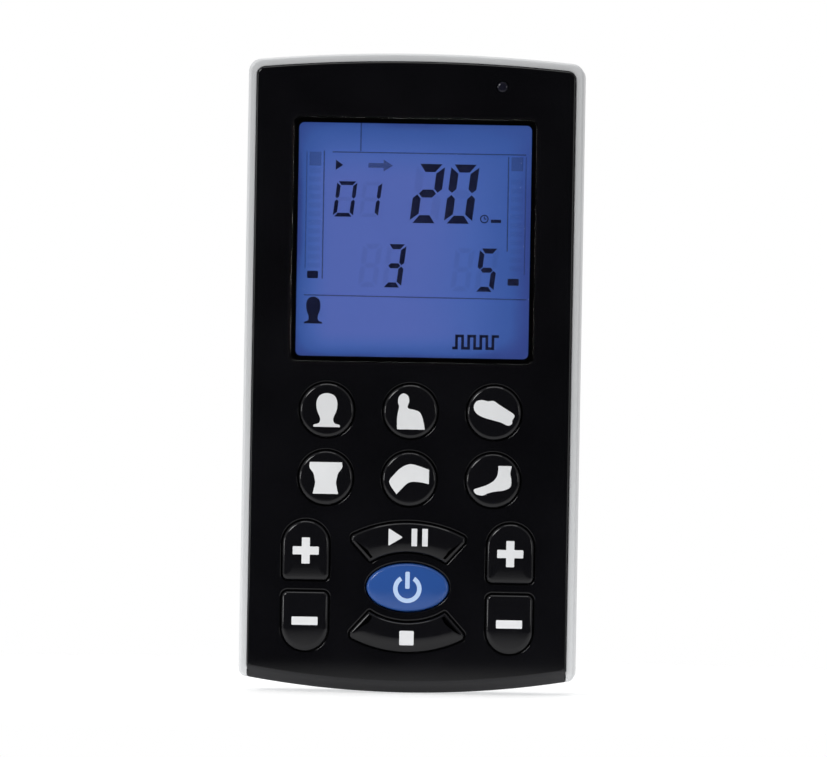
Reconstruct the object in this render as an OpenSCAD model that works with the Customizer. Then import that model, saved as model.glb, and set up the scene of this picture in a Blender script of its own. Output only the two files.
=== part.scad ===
// Hand-held two-channel muscle and nerve stimulator: a white rear shell, a glossy black front
// with a square display and thirteen keys, four cells behind a hinged door, and a belt clip.
// Parts are drawn in a flat frame: x to the right, y up the housing, z out of the front,
// with z = 0 at the housing's back. upright() stands them up, with the front towards -Y.

/* [Housing] */
// Height of the housing between the tops of its curved ends
body_h = 120; // [120:1:126]
// Width of the housing
body_w = 63; // [63:0.5:68]
// Depth of the housing without its keys and belt clip
body_d = 22; // [22:0.5:25]
// How far the curved top stands out past the upper corners
top_bulge = 1.6; // [1.4:0.1:2.5]
// How far the curved bottom stands out past the lower corners
bottom_bulge = 2.8; // [2.4:0.1:3]
// Radius of the two upper corners
top_corner_r = 2.4; // [2:0.1:3]
// Radius of the two lower corners
bottom_corner_r = 1.4; // [1:0.1:2]
// Radius of the edge round the back
back_edge_r = 4; // [3.5:0.1:4]
// Thickness of the shell walls
wall = 2; // [1.8:0.1:2.1]
// Width of the white rim seen beside the front cover
rim_w = 1.5; // [1.4:0.1:1.6]
// Height and depth of the bevel along the front cover's lower edge
lip_bevel = 2; // [1.5:0.1:2]

/* [Display] */
// Width of the clear window
window_w = 45.8; // [45:0.2:46]
// Height of the clear window
window_h = 46; // [45:0.2:46]
// Distance from the top of the housing to the middle of the window
window_drop = 35.1; // [35:0.1:35.5]

/* [Keys] */
// Radius of the six round keys
round_key_r = 5.1; // [4.6:0.05:5.2]
// Distance between the columns of round keys
key_pitch_x = 15.7; // [15:0.1:16]
// Distance between the rows of round keys
key_pitch_y = 12.7; // [12.5:0.1:12.9]
// Width of the plus and minus keys
side_key_w = 8.8; // [8:0.1:9]
// Width of the oval power key
power_key_w = 15.4; // [14:0.1:15.6]
// Height of the oval power key
power_key_h = 9; // [8.5:0.1:9.2]
// How far the keys stand out of the front cover
key_stand = 0.8; // [0.6:0.1:1]
// How far each key travels
key_travel = 0.8; // [0.6:0.1:0.8]

/* [Power and outputs] */
// Diameter of a cell
cell_d = 10.5; // [10:0.1:10.5]
// Length of a cell with its raised contact
cell_l = 44.5; // [44:0.1:44.5]
// Bore of the shroud round each output pin
jack_bore = 6.4; // [6:0.1:6.6]
// Diameter of each output pin
jack_pin_d = 2.35; // [2.3:0.05:2.5]
// Distance from the housing's middle to each output socket
jack_x = 14; // [13:0.5:15]

/* [Belt clip] */
// Free gap between the belt clip and the back
clip_gap = 5.2; // [4.6:0.1:6]
// Thickness of the belt clip's arm
clip_t = 2; // [1.8:0.1:2.4]
// Width of the belt clip
clip_w = 16; // [14:0.5:18]

/* [Hidden] */
$fn = 48;

// Heights above the back, from the front of the housing inwards
gap = 0.1;                                  // assembly clearance between fixed pieces
plate_t = 2;                                // thickness of the front cover's face
plate_z = body_d - plate_t;
rim_z = body_d - 0.6;                       // front edge of the white rim
skirt_z = body_d - 6;                       // where the rear shell's wall steps to the rim
glass_t = 1.5;
glass_z = plate_z - 0.4 - glass_t;
board_t = 1.6;
board_z = body_d - 7.2;
board_front_z = board_z + board_t;
window_t = 1.2;
ledge = 1.1;                                // step that the window rests on
window_y = body_h - window_drop;
view_w = window_w - 2 * ledge;
view_h = window_h - 2 * ledge;

// Radii of the curved ends
function end_radius(bulge) = (pow(body_w / 2, 2) + pow(bulge, 2)) / (2 * bulge);
top_r = end_radius(top_bulge);
bottom_r = end_radius(bottom_bulge);

// Keys: name, x, y of each middle
key_row_y = 52.8;
round_keys = [
    ["key_head", -key_pitch_x, key_row_y], ["key_shoulder", 0, key_row_y],
    ["key_hand", key_pitch_x, key_row_y],
    ["key_back", -key_pitch_x, key_row_y - key_pitch_y], ["key_knee", 0, key_row_y - key_pitch_y],
    ["key_foot", key_pitch_x, key_row_y - key_pitch_y]];
cluster_y = 19.8;                           // middle of the lower key group
side_key_x = 19.2;
side_key_gap = 2.1;                         // between a plus key and the minus key under it
side_key_l = 11.2;
// name, x, and 1 for plus (above) or -1 for minus (below)
side_keys = [
    ["key_plus_left", -side_key_x, 1], ["key_minus_left", -side_key_x, -1],
    ["key_plus_right", side_key_x, 1], ["key_minus_right", side_key_x, -1]];
fan_top = 12.2;                             // outer edge of the mode and set keys, from cluster_y
fan_r = 23;                                 // radius of that edge
fan_half_w = 10.7;
fan_tip_w = 7;                              // half width where the key meets the oval
fan_plunger_y = 9.5;
oval_gap = 2.1;                             // between the power key and the fan keys
key_clear = 0.2;                            // between a key and its hole
flange_w = 0.7;                             // how far a key's flange reaches past its cap
flange_t = 1;
flange_z = plate_z - 0.1 - flange_t;
dome_spots = concat(
    [for (key = round_keys) [key[1], key[2]]],
    [for (key = side_keys) [key[1], cluster_y + key[2] * (side_key_gap + side_key_l) / 2]],
    [[0, cluster_y], [0, cluster_y + fan_plunger_y], [0, cluster_y - fan_plunger_y]]);
membrane_t = 0.8;
membrane_z = board_front_z + 0.05;
collar_z = flange_z - key_travel - 0.2;     // top of the collar round each plunger
plunger_r = 1.5;
pad_t = 0.1;
plunger_z = board_front_z + pad_t + key_travel + 0.1;

// Indicator
led_spot = [16.2, body_h - 6];
led_r = 1;

// Screws and posts
case_screw_spots = [[-26.4, 9], [26.4, 9], [-26.4, body_h - 7.5], [26.4, body_h - 7.5]];
board_screw_spots = [[-27.2, 59], [27.2, 59], [0, body_h - 7]];
boss_r = 1.9;
boss_split_z = board_z - 1.6;               // where the front and rear bosses meet

// Cells
cell_pitch = cell_d + 0.3;
cell_x = [for (i = [0:3]) (i - 1.5) * cell_pitch];
tub_wall = 1.2;
tub_half_w = 2 * cell_pitch - 0.1;
tub_y0 = 10;
tub_y1 = tub_y0 + cell_l + 6.1;
tub_top_z = board_z - 0.8;                  // inner side of the compartment's floor
tub_floor_z = tub_top_z - 1;
cell_z = tub_floor_z - 0.15 - cell_d / 2;
contact_t = 0.4;
contact_y0 = tub_y0 + 0.1;
contact_y1 = tub_y1 - 0.1 - contact_t;
nub_l = 1;

// Door in the back, hinged on its lower edge
door_half_w = 23.5;
door_t = 2;
door_z = 0.1;
door_top_y = tub_y1 + 4.4;
hinge_r = 1;
hinge_pin_r = 0.65;
hinge_y = 7.3;
hinge_z = door_z + door_t / 2;
door_gap = 0.25;
recess_z = door_z + door_t + gap;

// Belt clip and the channel that it slides into
channel_y0 = body_h - 27;
channel_half_w = clip_w / 2;
lip_t = 1.5;
foot_t = 1.6;
clip_clear = 0.15;
clip_arm_y0 = door_top_y + 3.2;
clip_top_y = body_h - 10;
clip_back_z = -clip_gap - clip_t;

// Output sockets in the top, and the adaptor socket in the bottom
jack_z = board_z - 4.9;
jack_r = 4.2;
jack_mouth_y = body_h - 1.1;
jack_depth = 10;
jack_floor_y = jack_mouth_y - jack_depth;
jack_base_y = jack_floor_y - 4;
adaptor_w = 7.6;
adaptor_h = 2.9;

// The middle of the whole depth, which the row frame's Y = 0 passes through
front_z = body_d + key_stand;
middle_z = (front_z + clip_back_z) / 2;

function arc(c, r, a0, a1, n) =
    [for (i = [0:n]) c + r * [cos(a0 + (a1 - a0) * i / n), sin(a0 + (a1 - a0) * i / n)]];

// One curved end of the housing, about the middle of its big arc, from right to left
function end_points(half, r_end, r_corner) =
    let (cx = half - r_corner,
         cy = sqrt(pow(r_end - r_corner, 2) - cx * cx),
         a = atan2(cy, cx), n = 15)
    concat(arc([cx, cy], r_corner, 0, a, 4),
           [for (i = [1:n - 1]) let (b = a + (180 - 2 * a) * i / n) r_end * [cos(b), sin(b)]],
           arc([-cx, cy], r_corner, 180 - a, 180, 4));

// The housing's outline moved inwards by side, top and bottom
module housing_shape(side, top, bottom, r_top, r_bottom) {
    half = body_w / 2 - side;
    upper = end_points(half, top_r - top, r_top);
    lower = end_points(half, bottom_r - bottom, r_bottom);
    polygon(concat([for (p = upper) p + [0, body_h - top_r]],
                   [for (p = lower) [-p[0], bottom_r - p[1]]]));
}

module inset_shape(inset)
    housing_shape(inset, inset, inset, max(0.8, top_corner_r - 0.6 * inset),
                  max(0.5, bottom_corner_r - 0.4 * inset));

module slab(z0, z1) translate([0, 0, z0]) linear_extrude(z1 - z0) children();

module upright() translate([0, middle_z, 0]) rotate([90, 0, 0]) children();

module rounded_rect(w, h, r) {
    square([w - 2 * r, h], center = true);
    square([w, h - 2 * r], center = true);
    for (x = [-1, 1], y = [-1, 1]) translate([x * (w / 2 - r), y * (h / 2 - r)]) circle(r);
}

// A cylinder up the housing, along y
module rod_y(x, z, r, y0, y1) translate([x, y0, z]) rotate([-90, 0, 0]) cylinder(r = r, h = y1 - y0);

// A cylinder across the housing, along x
module rod_x(y, z, r, half) translate([-half, y, z]) rotate([0, 90, 0]) cylinder(r = r, h = 2 * half);

module block(x0, x1, y0, y1, z0, z1) translate([x0, y0, z0]) cube([x1 - x0, y1 - y0, z1 - z0]);

// Rectangle from a0 to a1 across and z0 to z1 up, with its two lower corners rounded
module round_bottom(a0, a1, z0, z1, r) {
    translate([a0, z0 + r]) square([a1 - a0, z1 - z0 - r]);
    translate([a0 + r, z0]) square([a1 - a0 - 2 * r, r + 1]);
    for (a = [a0 + r, a1 - r]) translate([a, z0 + r]) circle(r);
}

// The housing's body, moved inwards by inset on its sides, ends and back
module rounded_body(inset, z_front) {
    r = back_edge_r - inset;
    half = body_w / 2 - inset;
    intersection() {
        slab(inset, z_front) inset_shape(inset);
        translate([0, body_h + 1, 0]) rotate([90, 0, 0]) linear_extrude(body_h + 2)
            round_bottom(-half, half, inset, z_front, r);
        translate([-body_w, 0, 0]) rotate([90, 0, 90]) linear_extrude(2 * body_w)
            round_bottom(inset, body_h - inset, inset, z_front, r);
    }
}

// Key outlines, each grown outwards by grow
module side_key_shape(end, grow) {
    r = side_key_w / 2 + grow;
    flat = side_key_l - side_key_w / 2;
    y_in = side_key_gap / 2 - grow;
    y_mid = side_key_gap / 2 + flat;
    translate([-r, end > 0 ? y_in : -y_mid]) square([2 * r, y_mid - y_in]);
    translate([0, end * y_mid]) circle(r);
}

module power_shape(grow) polygon([for (i = [0:39])
    [(power_key_w / 2 + grow) * cos(i * 9), (power_key_h / 2 + grow) * sin(i * 9)]]);

// The key above the oval; its lower edge follows the oval at oval_gap
module fan_shape(grow) difference() {
    intersection() {
        translate([0, fan_top - fan_r]) circle(fan_r + grow, $fn = 180);
        polygon([[-fan_half_w - grow, fan_top + 1], [-fan_half_w - grow, fan_top - 3.6],
                 [-fan_tip_w - grow, 4.4 - grow], [fan_tip_w + grow, 4.4 - grow],
                 [fan_half_w + grow, fan_top - 3.6], [fan_half_w + grow, fan_top + 1]]);
    }
    power_shape(oval_gap - grow);
}

// Cap and flange of a key that isn't round, and the plunger under it
module key_body(spot, kind, end) {
    slab(flange_z + flange_t / 2, front_z) key_shape(kind, end, 0);
    slab(flange_z, flange_z + flange_t) key_shape(kind, end, flange_w);
    plunger(spot);
}

module key_shape(kind, end, grow) {
    if (kind == "side") side_key_shape(end, grow);
    if (kind == "fan") rotate(end > 0 ? 0 : 180) fan_shape(grow);
    if (kind == "power") power_shape(grow);
}

module plunger(spot)
    translate([spot[0], spot[1], plunger_z]) cylinder(r = plunger_r, h = flange_z - plunger_z + 0.5);

module round_key(spot) color("black") upright() translate([spot[0], spot[1], 0]) {
    crown_r = 40;
    plunger([0, 0]);
    translate([0, 0, flange_z]) cylinder(r = round_key_r + flange_w, h = flange_t);
    intersection() {
        translate([0, 0, flange_z]) cylinder(r = round_key_r, h = front_z - flange_z);
        translate([0, 0, front_z - crown_r]) sphere(crown_r, $fn = 128);
    }
}

module side_key(x, end) color("black") upright() translate([x, cluster_y, 0])
    key_body([0, end * (side_key_gap + side_key_l) / 2], "side", end);

module fan_key(end) color("black") upright() translate([0, cluster_y, 0])
    key_body([0, end * fan_plunger_y], "fan", end);

module key_power() color("royalblue") upright() translate([0, cluster_y, 0])
    key_body([0, 0], "power", 1);

module key_holes() {
    for (key = round_keys)
        translate([key[1], key[2], plate_z - 1]) cylinder(r = round_key_r + key_clear, h = plate_t + 2);
    translate([0, cluster_y, 0]) slab(plate_z - 1, body_d + 1) {
        for (key = side_keys) translate([key[1], 0]) side_key_shape(key[2], key_clear);
        for (turn = [0, 180]) rotate(turn) fan_shape(key_clear);
        power_shape(key_clear);
    }
}

// Face of the front cover, with the bevel that follows its curved lower edge
module front_plate() {
    edge = rim_w + gap;
    difference() {
        slab(plate_z, body_d) housing_shape(edge, edge, 0, top_corner_r - 1, 0.4);
        translate([0, bottom_r, body_d]) rotate_extrude($fn = 360)
            polygon([[bottom_r - lip_bevel, 0.5], [bottom_r - lip_bevel, 0], [bottom_r, -lip_bevel],
                     [bottom_r + 4, -lip_bevel], [bottom_r + 4, 0.5]]);
    }
}

module front_cover() color("#101013") upright() difference() {
    union() {
        front_plate();
        slab(skirt_z + gap, plate_z + gap) difference() {
            inset_shape(rim_w + 0.2);
            inset_shape(rim_w + 1.4);
        }
        for (p = case_screw_spots)
            translate([p[0], p[1], boss_split_z + gap]) cylinder(r = boss_r, h = plate_z - boss_split_z);
        for (p = board_screw_spots)
            translate([p[0], p[1], board_front_z]) cylinder(r = 1.6, h = plate_z - board_front_z + gap);
    }
    key_holes();
    translate([0, window_y, 0]) {
        slab(body_d - window_t, body_d + 1) rounded_rect(window_w + 2 * gap, window_h + 2 * gap, 1.5);
        slab(plate_z - 1, body_d) rounded_rect(view_w, view_h, 1);
    }
    translate([led_spot[0], led_spot[1], plate_z - 1]) cylinder(r = led_r + 0.05, h = plate_t + 2);
    for (p = case_screw_spots)
        translate([p[0], p[1], boss_split_z - 1]) cylinder(r = 0.85, h = 7);
    for (p = board_screw_spots)
        translate([p[0], p[1], board_front_z - 1]) cylinder(r = 0.75, h = 3.6);
}

module display_window() color("#20242c") upright() translate([0, window_y, 0])
    slab(body_d - window_t, body_d) rounded_rect(window_w, window_h, 1.4);

module display_gasket() color("dimgray") upright() translate([0, window_y, 0])
    slab(glass_z + glass_t, plate_z) difference() {
        square([view_w + 3, view_h + 3], center = true);
        square([view_w + 0.4, view_h + 0.4], center = true);
    }

glass_w = view_w + 3.8;
glass_h = view_h + 5;
strip_w = 1.6;

module lcd_glass() color("royalblue") upright() translate([-glass_w / 2, window_y - glass_h / 2, glass_z])
    cube([glass_w, glass_h, glass_t]);

module lcd_holder() color("white") upright() translate([0, window_y, 0])
    slab(board_front_z, glass_z + glass_t - 0.2) difference() {
        square([glass_w + 2.4, glass_h + 1.6], center = true);
        square([glass_w + 0.2, glass_h + 0.2], center = true);
    }

module lcd_backlight() color("aliceblue") upright() translate([0, window_y, 0])
    slab(board_front_z, glass_z) square([glass_w - 1, glass_h - 2 * strip_w - 0.6], center = true);

module lcd_contact_strips() color("hotpink") upright() for (end = [-1, 1])
    translate([0, window_y + end * (glass_h - strip_w) / 2, 0])
        slab(board_front_z, glass_z) square([glass_w - 2, strip_w], center = true);

module main_board() color("darkgreen") upright() slab(board_z, board_front_z) difference() {
    housing_shape(3.3, 3.6, 3.2, 1, 1);
    for (p = case_screw_spots) translate(p) {
        circle(boss_r + 0.3);
        translate([p[0] > 0 ? 0 : -5, -boss_r - 0.3]) square([5, 2 * (boss_r + 0.3)]);
    }
    for (p = board_screw_spots) translate(p) circle(0.95);
}

// Silicone sheet with a collar round the plunger of each key
module key_membrane() color("gray") upright() difference() {
    union() {
        slab(membrane_z, membrane_z + membrane_t) translate([-23.5, 5]) square([47, 53]);
        for (p = dome_spots)
            translate([p[0], p[1], membrane_z]) cylinder(r = 2.8, h = collar_z - membrane_z);
    }
    for (p = dome_spots)
        translate([p[0], p[1], membrane_z - 1]) cylinder(r = plunger_r + 0.4, h = 4);
}

module key_contacts() color("#222222") upright() for (p = dome_spots)
    translate([p[0], p[1], board_front_z]) cylinder(r = plunger_r, h = pad_t);

module led_lens() color("gainsboro") upright()
    translate([led_spot[0], led_spot[1], board_front_z + 0.8])
        cylinder(r = led_r, h = body_d - board_front_z - 0.8);

module status_led() color("ivory") upright()
    translate([led_spot[0] - 0.8, led_spot[1] - 0.5, board_front_z]) cube([1.6, 1, 0.7]);

// Shrouded output socket: a cup whose mouth is just below the top of the housing
module output_jack(x) color("#1b1b1e") upright() difference() {
    union() {
        rod_y(x, jack_z, jack_r, jack_base_y, jack_mouth_y);
        rod_y(x, jack_z, jack_r + 0.7, jack_base_y, jack_mouth_y - 3);
    }
    rod_y(x, jack_z, jack_bore / 2, jack_floor_y, jack_mouth_y + 1);
    rod_y(x, jack_z, jack_pin_d / 2 + 0.3, jack_base_y - 1, jack_floor_y + 1);
}

module jack_pins() color("silver") upright() for (x = [-jack_x, jack_x]) {
    tip = 0.4;
    rod_y(x, jack_z, jack_pin_d / 2, jack_floor_y, jack_mouth_y - 1.6 - tip);
    translate([x, jack_mouth_y - 1.6 - tip, jack_z]) rotate([-90, 0, 0])
        cylinder(r1 = jack_pin_d / 2, r2 = jack_pin_d / 2 - tip, h = tip);
    rod_y(x, jack_z, jack_pin_d / 2 + 0.3, jack_base_y - 1, jack_floor_y);
    block(x - 0.5, x + 0.5, jack_base_y - 1, jack_base_y - 0.4, jack_z, board_z);
}

module adaptor_socket() color("silver") upright() difference() {
    block(-adaptor_w / 2, adaptor_w / 2, 0.7, 7, board_z - adaptor_h, board_z);
    block(-adaptor_w / 2 + 0.3, adaptor_w / 2 - 0.3, 0, 6.4, board_z - adaptor_h + 0.3, board_z - 0.3);
}

module adaptor_tongue() color("#1b1b1e") upright()
    block(-2.4, 2.4, 1.6, 6.4, board_z - 1.1, board_z - 0.5);

transformer_spots = [[-17.5, 84], [17.5, 84]];

// Ferrite frame with a window on each side of its middle leg
module transformer_cores() color("#2b2b2b") upright() for (p = transformer_spots)
    translate([p[0], p[1], board_z - 9]) difference() {
        translate([-6.5, -5, 0]) cube([13, 10, 9]);
        for (side = [-1, 1]) translate([side * 3.3 - 1.3, -6, 1.6]) cube([2.6, 12, 5.8]);
    }

module transformer_windings() color("peru") upright() for (p = transformer_spots, side = [-1, 1])
    translate([p[0] + side * 3.3 - 1.2, p[1] - 5.6, board_z - 7.3]) cube([2.4, 11.2, 5.6]);

module capacitors() color("midnightblue") upright() for (x = [-7.2, 0, 7.2])
    translate([x, 82, board_z - 7.5]) cylinder(r = 3.15, h = 7.5);

module buzzer() color("#1b1b1e") upright() difference() {
    translate([0, 97, board_z - 4.5]) cylinder(r = 6, h = 4.5);
    translate([0, 97, board_z - 5]) cylinder(r = 0.8, h = 2);
}

module processor_chip() color("#2b2b2b") upright() translate([-6, 63.5, board_z - 1.4]) cube([12, 12, 1.4]);

module crystal() color("silver") upright() translate([-18, 68, board_z - 3.5])
    slab(0, 3.5) rounded_rect(10.5, 4.4, 2.1);

// A screw whose head faces the back: top of the thread at z1, underside of the head at z0
module screw(spot, head_r, head_t, shank_r, z0, z1) translate([spot[0], spot[1], 0]) {
    difference() {
        translate([0, 0, z0 - head_t]) cylinder(r = head_r, h = head_t);
        for (turn = [0, 90]) rotate(turn)
            translate([-head_r * 0.6, -0.2, z0 - head_t - 0.1]) cube([head_r * 1.2, 0.4, 0.6]);
    }
    translate([0, 0, z0]) cylinder(r = shank_r, h = z1 - z0);
}

screw_seat_z = 4;                           // where the heads of the case screws rest

module case_screws() color("silver") upright() for (p = case_screw_spots)
    screw(p, 1.65, 1.3, 0.8, screw_seat_z, boss_split_z + 5);

module board_screws() color("silver") upright() for (p = board_screw_spots)
    screw(p, 1.6, 1.1, 0.7, board_z, board_front_z + 2);

module clip_channel() {
    block(-channel_half_w + 1.4, channel_half_w - 1.4, channel_y0, body_h + 1, -1, lip_t + 0.1);
    block(-channel_half_w, channel_half_w, channel_y0, body_h + 1, lip_t, lip_t + foot_t + 2 * clip_clear);
}

module rear_cover() color("whitesmoke") upright() difference() {
    rounded_body(0, rim_z);
    difference() {
        rounded_body(wall, skirt_z + 0.5);
        block(-tub_half_w - tub_wall, tub_half_w + tub_wall, tub_y0 - tub_wall, tub_y1 + tub_wall,
              0, tub_top_z);
        block(-door_half_w - 1.7, door_half_w + 1.7, 0, door_top_y + 1.5, 0, recess_z + 1.3);
        block(-channel_half_w - 1.2, channel_half_w + 1.2, channel_y0 - 1.2, body_h,
              0, lip_t + foot_t + 1.4);
        for (p = case_screw_spots) translate([p[0], p[1], 0]) cylinder(r = boss_r + 0.5, h = boss_split_z);
    }
    slab(skirt_z, body_d) inset_shape(rim_w);
    block(-body_w / 2 + rim_w, body_w / 2 - rim_w, -1, 4, plate_z - gap, body_d);
    // Compartment, door recess, its hinge holes and a scoop for the thumb
    block(-tub_half_w, tub_half_w, tub_y0, tub_y1, -1, tub_floor_z);
    translate([0, (door_top_y + hinge_y - hinge_r) / 2, 0]) slab(-1, recess_z)
        square([2 * (door_half_w + door_gap), door_top_y - hinge_y + hinge_r + 2 * door_gap],
               center = true);
    rod_x(hinge_y, hinge_z, hinge_pin_r + 0.05, door_half_w + 1.3);
    translate([0, door_top_y + 1, -7.8]) sphere(9, $fn = 96);
    clip_channel();
    for (p = case_screw_spots) translate([p[0], p[1], 0]) {
        translate([0, 0, -1]) cylinder(r = 1.85, h = screw_seat_z + 1);
        cylinder(r = 1, h = boss_split_z + 1);
    }
    for (x = [-jack_x, jack_x]) rod_y(x, jack_z, jack_r + 0.1, body_h - 8, body_h + 1);
    block(-adaptor_w / 2 - 0.2, adaptor_w / 2 + 0.2, -1, 4, board_z - adaptor_h - 0.2, board_z + 0.2);
}

module cell(i) color("darkslategray") upright() {
    up = i % 2 == 0;
    y0 = up ? contact_y1 - cell_l : contact_y0 + contact_t;
    nub_y = up ? contact_y1 - nub_l : y0;
    rod_y(cell_x[i], cell_z, cell_d / 2, up ? y0 : y0 + nub_l, up ? nub_y : y0 + cell_l);
    rod_y(cell_x[i], cell_z, 1.9, nub_y - (up ? 0.1 : 0), nub_y + nub_l + (up ? 0 : 0.1));
}

// Conical wire coil along y from r0 to r1, swept as rings of points
module coil(r0, r1, length, turns, wire_r) {
    steps = 12 * turns;
    sides = 5;
    rings = [for (i = [0:steps])
        let (t = i / steps, a = 360 * turns * t, r = r0 + (r1 - r0) * t,
             y = wire_r + (length - 2 * wire_r) * t)
        [for (k = [0:sides - 1])
            let (b = 360 * k / sides, q = r + wire_r * cos(b))
            [q * cos(a), y + wire_r * sin(b), q * sin(a)]]];
    points = [for (ring = rings) for (p = ring) p];
    polyhedron(points, concat(
        [[for (k = [0:sides - 1]) k]],
        [for (i = [0:steps - 1], k = [0:sides - 1])
            let (a = i * sides + k, b = i * sides + (k + 1) % sides) [b, a, a + sides, b + sides]],
        [[for (k = [0:sides - 1]) steps * sides + sides - 1 - k]]));
}

module cell_springs() color("silver") upright() for (i = [0:3]) {
    up = i % 2 == 0;
    free_l = contact_y1 - contact_y0 - contact_t - cell_l;
    translate([cell_x[i], up ? contact_y0 + contact_t : contact_y1, cell_z])
        rotate([up ? 0 : 180, 0, 0]) coil(3.4, 2.2, free_l, 4, 0.35);
}

// Plates that join the four cells in series
module cell_contacts() color("silver") upright() {
    half = cell_d / 2 - 0.6;
    for (pair = [[0, 1], [2, 3]])
        block(cell_x[pair[0]] - half, cell_x[pair[1]] + half, contact_y0, contact_y0 + contact_t,
              cell_z - half, cell_z + half);
    for (pair = [[0, 0], [1, 2], [3, 3]])
        block(cell_x[pair[0]] - half, cell_x[pair[1]] + half, contact_y1, contact_y1 + contact_t,
              cell_z - half, cell_z + half);
}

module battery_door() color("whitesmoke") upright() {
    difference() {
        translate([0, (door_top_y + hinge_y) / 2, 0]) slab(door_z, door_z + door_t)
            square([2 * door_half_w, door_top_y - hinge_y], center = true);
        for (k = [0:4]) block(-6, 6, door_top_y - 9 + 1.6 * k, door_top_y - 8.2 + 1.6 * k, -1, door_z + 0.5);
        // Slits that free the latch tab in the middle of the upper edge
        for (x = [-8.6, 7.8]) block(x, x + 0.8, door_top_y - 11, door_top_y + 1, -1, 4);
    }
    rod_x(hinge_y, hinge_z, hinge_r, door_half_w);
    rod_x(hinge_y, hinge_z, hinge_pin_r, door_half_w + 1.2);
}

module belt_clip() color("#17171a") upright() {
    half = clip_w / 2;
    foot_y0 = channel_y0 + 0.2;
    foot_z = lip_t + clip_clear;
    block(-half + clip_clear, half - clip_clear, foot_y0, clip_top_y, foot_z + 0.1, foot_z + foot_t);
    block(-half + 1.4 + clip_clear, half - 1.4 - clip_clear, foot_y0, clip_top_y, -0.4, foot_z + 0.2);
    block(-half, half, clip_top_y - 8, clip_top_y, clip_back_z + 1, -0.3);
    block(-half, half, clip_arm_y0, clip_top_y, clip_back_z, clip_back_z + clip_t);
    block(-half, half, clip_arm_y0, clip_arm_y0 + 2.5, clip_back_z + clip_t - 0.1, clip_back_z + clip_t + 0.9);
}

for (key = round_keys) round_key([key[1], key[2]]);
for (key = side_keys) side_key(key[1], key[2]);
fan_key(1);  // key_mode
fan_key(-1);  // key_set
key_power();
front_cover();
display_window();
display_gasket();
lcd_glass();
lcd_holder();
lcd_backlight();
lcd_contact_strips();
main_board();
key_membrane();
key_contacts();
led_lens();
status_led();
output_jack(-jack_x);  // output_jack_left
output_jack(jack_x);  // output_jack_right
jack_pins();
adaptor_socket();
adaptor_tongue();
transformer_cores();
transformer_windings();
capacitors();
buzzer();
processor_chip();
crystal();
board_screws();
case_screws();
rear_cover();
for (i = [0:3]) cell(i);
cell_springs();
cell_contacts();
battery_door();
belt_clip();
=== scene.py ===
"""Looks of the hand-held stimulator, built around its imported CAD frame.

Shapes are written in the part's flat frame, in millimetres: x to the right, y up the housing and
z out of the front, with z = 0 at the housing's back. put() turns them into the row's frame.
"""

import math

import bmesh
import bpy
import numpy as np
from mathutils import Euler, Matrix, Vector
from mathutils.geometry import delaunay_2d_cdt, tessellate_polygon


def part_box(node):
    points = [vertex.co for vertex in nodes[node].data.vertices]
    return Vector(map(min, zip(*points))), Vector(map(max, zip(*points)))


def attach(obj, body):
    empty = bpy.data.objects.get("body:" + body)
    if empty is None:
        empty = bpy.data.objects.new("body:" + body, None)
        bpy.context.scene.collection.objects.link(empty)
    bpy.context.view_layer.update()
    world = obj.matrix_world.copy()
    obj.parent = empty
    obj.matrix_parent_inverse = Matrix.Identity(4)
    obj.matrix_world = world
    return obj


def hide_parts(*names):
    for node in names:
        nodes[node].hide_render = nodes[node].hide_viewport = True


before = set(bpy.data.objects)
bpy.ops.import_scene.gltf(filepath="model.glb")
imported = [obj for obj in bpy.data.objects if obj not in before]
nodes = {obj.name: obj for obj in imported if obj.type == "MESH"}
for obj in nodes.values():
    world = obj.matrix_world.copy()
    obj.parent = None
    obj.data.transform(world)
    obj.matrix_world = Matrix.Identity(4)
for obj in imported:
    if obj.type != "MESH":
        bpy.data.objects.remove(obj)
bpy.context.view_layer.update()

MM = 0.001
BACK_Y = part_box("rear_cover")[1][1] / MM       # row Y of the housing's back, flat z = 0
BODY_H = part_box("rear_cover")[1][2] / MM
BODY_W = 2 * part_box("rear_cover")[1][0] / MM
BODY_D = BACK_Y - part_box("front_cover")[0][1] / MM
RIM_Z = BACK_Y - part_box("rear_cover")[0][1] / MM
PLATE_Z = BODY_D - 2                           # back of the front cover's face
GAP = 0.1
RIM_W = 1.5
LEDGE = 1.1                                     # step that the window rests on
SCREW_HEAD_R = 1.65
TOP_BULGE, BOTTOM_BULGE = 1.6, 2.8             # how far the curved ends stand past the corners
TOP_R, BOTTOM_R = (((BODY_W / 2) ** 2 + bulge ** 2) / (2 * bulge) for bulge in (TOP_BULGE, BOTTOM_BULGE))


# ---------------------------------------------------------------- mesh tools

def put(p):
    """Flat-frame millimetres to row-frame metres."""
    return (p[0] * MM, (BACK_Y - p[2]) * MM, p[1] * MM)


def flat_box(node):
    """A CAD node's box as flat-frame lows and highs."""
    lo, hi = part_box(node)
    lo, hi = np.array(lo) / MM, np.array(hi) / MM
    return np.array([lo[0], lo[2], BACK_Y - hi[1]]), np.array([hi[0], hi[2], BACK_Y - lo[1]])


def centre(node):
    lo, hi = flat_box(node)
    return (lo + hi) / 2


def half_width(node):
    lo, hi = flat_box(node)
    return (hi[0] - lo[0]) / 2


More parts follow.
